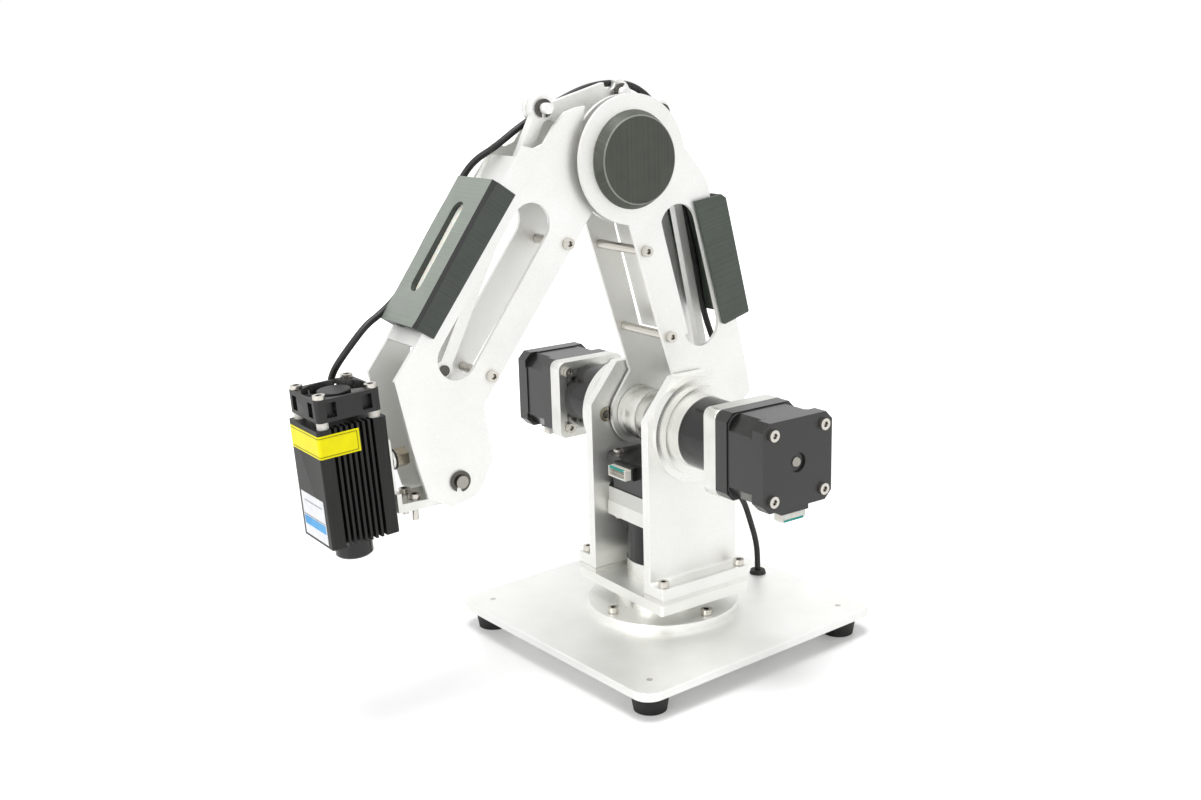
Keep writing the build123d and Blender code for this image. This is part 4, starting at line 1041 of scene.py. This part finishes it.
def cornered_motor(node, material, place, start, end):
    """Copy of a motor whose stack loses its four corners between two places on its axis."""
    obj = copy_of(node, node + "_cut", material)
    flat = [(WEDGE_OUT, WEDGE_IN), (WEDGE_OUT, WEDGE_OUT), (WEDGE_IN, WEDGE_OUT)]
    wedges = []
    for i, j in SQUARE:
        outline = [place(i * a, j * b, start) * MM for a, b in flat]
        sweep = (place(0, 0, end) - place(0, 0, start)) * MM
        wedges.append(prism("wedge", outline, sweep, material))
    cut(obj, wedges)
    ease_edges(obj, 0.3)
    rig.ride(obj, "turntable")
    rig.replaces(obj, node)
    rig.slot(obj, "motor_black")
    return obj


def near_place(a, b, c):
    """Place on the near motor, from its axis and along it."""
    return Vector((a, c, SHOULDER_Z + b))


def far_place(a, b, c):
    """Place on the far motor, from its axis and along it."""
    return Vector((a, -c, SHOULDER_Z + b))


def yaw_place(a, b, c):
    """Place on the upright motor, from its axis and along it."""
    return Vector((a, b, c))


cornered_motor("near_motor", near_paint, near_place, STACK_START, STACK_END)
cornered_motor("far_motor", far_paint, far_place, STACK_START, STACK_END)
last = cornered_motor("yaw_motor", yaw_paint, yaw_place, YAW_START, YAW_END)
print("upright motor faces:", len(last.data.polygons))

# %% [markdown]
# ## Bracket at the wrist
#
# The laser is held by a narrow upright tongue and a long hexagon nut behind it. The copy
# of the bracket loses the sides of its upright plate, and the nut is a hexagon prism
# with a black and a bright washer before it.

# %% Narrow bracket and its nut
BOLT_HEIGHT = 28.3
SIDE_BLOCK = ((-24, 4.3), (-19, 4.3), (-19, 11), (-24, 11))
bracket = copy_of("wrist_bracket", "wrist_bracket_cut", brushed_metal)
rise = head.to_3x3() @ Vector((0, 0, 27 * MM))
sides = []
for side in (1, -1):
    corners = [on_head(x, side * y, 14.5) for x, y in SIDE_BLOCK]
    sides.append(prism("side_block", corners, rise, brushed_metal))
cut(bracket, sides)
ease_edges(bracket, 0.25)
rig.ride(bracket, "wrist")
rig.replaces(bracket, "wrist_bracket")
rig.slot(bracket, "machined")


def round_on_head(name, x_from, x_to, radius, sides, material, slot):
    """Round or hexagonal piece along the head's X axis, at the height of its bolt."""
    outline = []
    for i in range(sides):
        turn = 2 * math.pi * (i + 0.5) / sides
        height = BOLT_HEIGHT + radius * math.sin(turn)
        outline.append(on_head(x_from, radius * math.cos(turn), height))
    sweep = head.to_3x3() @ Vector(((x_to - x_from) * MM, 0, 0))
    obj = prism(name, outline, sweep, material)
    ease_edges(obj, 0.25)
    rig.ride(obj, "wrist")
    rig.slot(obj, slot)
    return obj


round_on_head("bright_washer", -22.0, -23.4, 4.6, 40, brushed_metal, "steel")
round_on_head("black_washer", -23.4, -24.3, 4.9, 40, fan_black, "plastic_black")
round_on_head("hexagon_nut", -24.3, -30.2, 4.7, 6, nut_metal, "steel")
print("bracket faces:", len(bracket.data.polygons))


# %% [markdown]
# ## Screws that the photograph shows
#
# Two screws are not among the CAD nodes: one with a wide washer inside the far bracket,
# and the one in the lower end of the upper rod, which shows through the forearm's
# window. Each is a disc or two that stand out towards the near side.

# %% Small discs
DISC_SIDES = 32
NEAR_WAY = Vector((0, 1, 0))


def disc(name, centre, thick, radius, body, material):
    """Short round piece that stands out to the near side; centre in millimetres."""
    side_a = NEAR_WAY.orthogonal().normalized()
    side_b = NEAR_WAY.cross(side_a)
    outline = []
    for i in range(DISC_SIDES):
        turn = 2 * math.pi * i / DISC_SIDES
        arm = side_a * radius * math.cos(turn) + side_b * radius * math.sin(turn)
        outline.append((Vector(centre) + arm) * MM)
    obj = prism(name, outline, NEAR_WAY * thick * MM, material)
    ease_edges(obj, min(0.2, thick / 4))
    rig.ride(obj, body)
    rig.slot(obj, "steel")
    return obj


FAR_WALL, WASHER_T = -21.3, 0.45
head_at = FAR_WALL + WASHER_T
disc("bracket_washer", (18.7, FAR_WALL, 117.2), WASHER_T, 3.9, "turntable", nut_metal)
disc("bracket_screw", (18.7, head_at, 117.2), 0.4, 2.1, "turntable", clip_metal)
rod_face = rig.box("upper_rod")[1][1] / MM
disc("rod_end_screw", (126.3, rod_face, 162.0), 0.9, 2.5, "upper_rod", clip_metal)
print("upper rod's near face in mm:", round(rod_face, 2))

# %% [markdown]
# ## The cable
#
# A round cable with a soft black jacket feeds the laser. It leaves the fan, runs along
# the far side of the forearm's cover, goes over the elbow and down inside the lower arm,
# through the clip of the post, and into the rubber grommet of the base plate. It is one
# line, made in seven stretches that meet in the middle of straight runs. A quadratic
# NURBS spline touches its control polygon at just those places, so the stretches join
# smoothly. Five of them cross a joint and bend between the two bodies there.

# %% Route of the cable
CABLE_D = 3.2
ROUTE = {
    "cable_wrist": ((170.7, -14.4, 156.0), (170.7, -19.0, 156.0), (169.9, -18.8, 161.6),
                    (167.8, -15.8, 167.6), (162.1, -14.0, 175.0), (152.9, -15.2, 183.4)),
    "cable_forearm": ((144.9, -17.7, 186.6), (133.8, -17.9, 194.7), (119.1, -17.9, 217.4),
                      (98.4, -17.9, 245.1)),
    "cable_elbow_front": ((93.7, -13.4, 252.8), (87.2, -7.0, 257.9), (73.0, -5.0, 267.8),
                          (52.0, -5.0, 277.8), (37.2, -5.0, 283.2), (23.2, -5.0, 284.9)),
    "cable_elbow_rear": ((10.2, -5.0, 283.6), (-0.3, -5.0, 277.4), (-7.8, -5.0, 267.3),
                         (-11.5, -5.0, 254.8)),
    "cable_arm": ((-16.0, -5.0, 235.3), (-23.3, -5.0, 215.3), (-29.2, -5.0, 190.0),
                  (-33.0, -5.0, 168.3)),
    "cable_shoulder": ((-39.5, -4.2, 150.4), (-43.5, 0.0, 136.9), (-39.5, 5.5, 123.0),
                       (-30.2, 7.6, 113.4)),
    "cable_tail": ((-30.2, 7.6, 88.4), (-36.0, 6.4, 77.9), (-46.5, 4.2, 68.9),
                   (-55.4, 1.6, 60.0), (-61.2, 0.5, 46.4), (-65.6, 0.1, 34.0),
                   (-67.0, 0.0, 24.0), (-67.0, 0.0, 8.5)),
}
LENGTHS = {
    "cable_wrist": 42.6, "cable_forearm": 84.5, "cable_elbow_front": 92.1,
    "cable_elbow_rear": 53.9, "cable_arm": 88.7, "cable_shoulder": 64.4, "cable_tail": 104.4,
}
HELD_BY = {
    "cable_wrist": ("wrist", "forearm"), "cable_forearm": ("forearm",),
    "cable_elbow_front": ("forearm", "elbow_triangle"),
    "cable_elbow_rear": ("elbow_triangle", "lower_arm"), "cable_arm": ("lower_arm",),
    "cable_shoulder": ("lower_arm", "turntable"), "cable_tail": ("turntable", "base"),
}
print("cable in mm:", round(sum(LENGTHS.values()), 1))

# %% [markdown]
# A stretch is a curve with a round section and closed ends, turned into a mesh. The same
# curve without its section gives the line that the cable follows.


# %% Cable stretches
def spline_points(curve):
    """Points of a curve's own line, without its tube."""
    bare = curve.copy()
    bare.data = curve.data.copy()
    bare.data.bevel_depth = 0
    bpy.context.scene.collection.objects.link(bare)
    seen = bpy.context.evaluated_depsgraph_get()
    line = bpy.data.meshes.new_from_object(bare.evaluated_get(seen))
    points = [v.co.copy() for v in line.vertices]
    bpy.data.objects.remove(bare)
    return points


def stretch(name, points):
    """One stretch of cable as a mesh tube, and the line that it follows."""
    data = bpy.data.curves.new(name, "CURVE")
    data.dimensions = "3D"
    data.resolution_u = 12
    data.bevel_depth = CABLE_D / 2 * MM
    data.bevel_resolution = 5
    data.use_fill_caps = True
    spline = data.splines.new("NURBS")
    spline.points.add(len(points) - 1)
    for point, place in zip(spline.points, points):
        point.co = (*place, 1)
    spline.order_u = 3
    spline.use_endpoint_u = True
    curve = bpy.data.objects.new(name + "_line", data)
    bpy.context.scene.collection.objects.link(curve)
    path = spline_points(curve)
    seen = bpy.context.evaluated_depsgraph_get()
    mesh = bpy.data.meshes.new_from_object(curve.evaluated_get(seen))
    tube = new_object(name + "_jacket", mesh, jacket)
    for face in tube.data.polygons:
        face.use_smooth = len(face.vertices) == 4
    bpy.data.objects.remove(curve)
    return tube, path


names = list(ROUTE)
runs = {name: [Vector(p) * MM for p in ROUTE[name]] for name in names}
for i, name in enumerate(names):
    points = list(runs[name])
    if i:
        points.insert(0, (runs[names[i - 1]][-1] + points[0]) / 2)
    if i + 1 < len(names):
        points.append((points[-1] + runs[names[i + 1]][0]) / 2)
    tube, path = stretch(name, points)
    held = HELD_BY[name]
    if len(held) == 2:
        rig.blend(tube, held[0], held[1], start=path[0], end=path[-1])
    else:
        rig.ride(tube, held[0])
    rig.replaces(tube, name)
    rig.slot(tube, "cable_black")
    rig.cord(
        tube, exit=path[0], length=LENGTHS[name] * MM, diameter=CABLE_D * MM,
        far_end="object", stiffness="medium", lay="hanging", path=path,
    )
    print(name, "points on its line:", len(path))

# %% [markdown]
# ## The studio
#
# The photograph was taken on a glossy white table in a white tent. The floor here is a
# pale sheet that keeps the soft shadow of the arm. It adds some light of its own to what
# the camera sees, more and more beyond 0.2 m, so that it fades to white, and a fifth of
# that in reflections. The world is white where the camera, reflections or glass see it,
# and a weaker grey where it lights the arm.


# %% Floor and world
def in_sight(tree):
    """1 for rays of the camera, of reflections and through glass, else 0."""
    path = add(tree, "LightPath")
    seen = add(tree, "Math", operation="MAXIMUM", in0=path.outputs["Is Camera Ray"])
    tree.links.new(path.outputs["Is Glossy Ray"], seen.inputs[1])
    seen = add(tree, "Math", operation="MAXIMUM", in0=seen.outputs[0])
    tree.links.new(path.outputs["Is Transmission Ray"], seen.inputs[1])
    return seen.outputs[0]


def studio_floor():
    """White floor that keeps its shadow."""
    made, tree, shader, place = finish("studio_floor", "#F2F2F2", 0.0, 0.35)
    soft = add(tree, "TexNoise", Vector=place, Scale=per_mm(300), Detail=1.0)
    shades(tree, shader, soft.outputs[0], "#F0F0F0", "#F5F5F5")
    away = add(tree, "VectorMath", operation="LENGTH", in0=place).outputs["Value"]
    fade = add(
        tree, "MapRange", interpolation_type="SMOOTHSTEP", Value=away,
        From_Min=0.22, From_Max=0.9, To_Min=0.16, To_Max=0.75,
    )
    direct = add(tree, "LightPath").outputs["Is Camera Ray"]
    share = add(tree, "MapRange", Value=direct, To_Min=0.2, To_Max=1.0).outputs[0]
    glow = add(tree, "Math", operation="MULTIPLY", in0=fade.outputs[0], in1=share)
    glow = add(tree, "Emission", Color=(1, 1, 1, 1), Strength=glow.outputs[0]).outputs[0]
    lit = add(tree, "AddShader", in0=shader.outputs[0], in1=glow).outputs[0]
    seen = add(tree, "MixShader", in0=in_sight(tree), in1=shader.outputs[0], in2=lit)
    out = next(n for n in tree.nodes if n.type == "OUTPUT_MATERIAL")
    tree.links.new(seen.outputs[0], out.inputs["Surface"])
    return made


FLOOR_HALF = 6.0
mesh = bmesh.new()
bmesh.ops.create_grid(mesh, x_segments=8, y_segments=8, size=FLOOR_HALF)
data = bpy.data.meshes.new("studio_floor")
mesh.to_mesh(data)
mesh.free()
floor = new_object("studio_floor", data, studio_floor())
floor.location.z = -0.2 * MM
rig.stage(floor)

world = bpy.data.worlds.new("white_tent")
bpy.context.scene.world = world
world.use_nodes = True
tree = world.node_tree
tree.nodes.clear()
strength = add(tree, "MapRange", Value=in_sight(tree), To_Min=0.5, To_Max=1.0)
white = add(tree, "Background", Color=(1, 1, 1, 1), Strength=strength.outputs[0])
add(tree, "OutputWorld", Surface=white.outputs[0])
print("floor reaches to:", FLOOR_HALF, "m on each side")

# %% [markdown]
# Three large soft lamps give the light its direction: one over the arm, one in front of
# it, which makes the fronts and the sloping cover paler than the near sides, and a weak
# one at its near side.


# %% Lamps
def soft_lamp(name, place, aim, size, watts):
    """A square lamp that looks at a point, in metres."""
    data = bpy.data.lights.new(name, "AREA")
    data.energy = watts
    data.size = size
    lamp = bpy.data.objects.new(name, data)
    bpy.context.scene.collection.objects.link(lamp)
    lamp.location = place
    lamp.rotation_euler = (Vector(aim) - Vector(place)).to_track_quat("-Z", "Y").to_euler()
    return lamp


soft_lamp("top_lamp", (0.3, 0.2, 2.6), (0.05, 0, 0.12), 1.2, 48)
soft_lamp("front_lamp", (2.3, 0.5, 1.2), (0.03, 0, 0.12), 1.2, 18)
soft_lamp("side_lamp", (-0.4, 2.4, 1.1), (0.03, 0, 0.12), 1.4, 4)
print("watts in all:", sum(light.energy for light in bpy.data.lights))

# %% [markdown] ## The end  The view transform stays plain, so that a colour renders as
# it is written.

# %% Finish
bpy.context.scene.view_settings.view_transform = "Standard"
dressed_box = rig.bounds()
sizes = {"cad": [list(v) for v in cad_box], "visual": [list(v) for v in dressed_box]}
with open("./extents.json", "w") as file:
    json.dump(sizes, file)
print("dressed box:", [round(v, 4) for v in (*dressed_box[0], *dressed_box[1])])
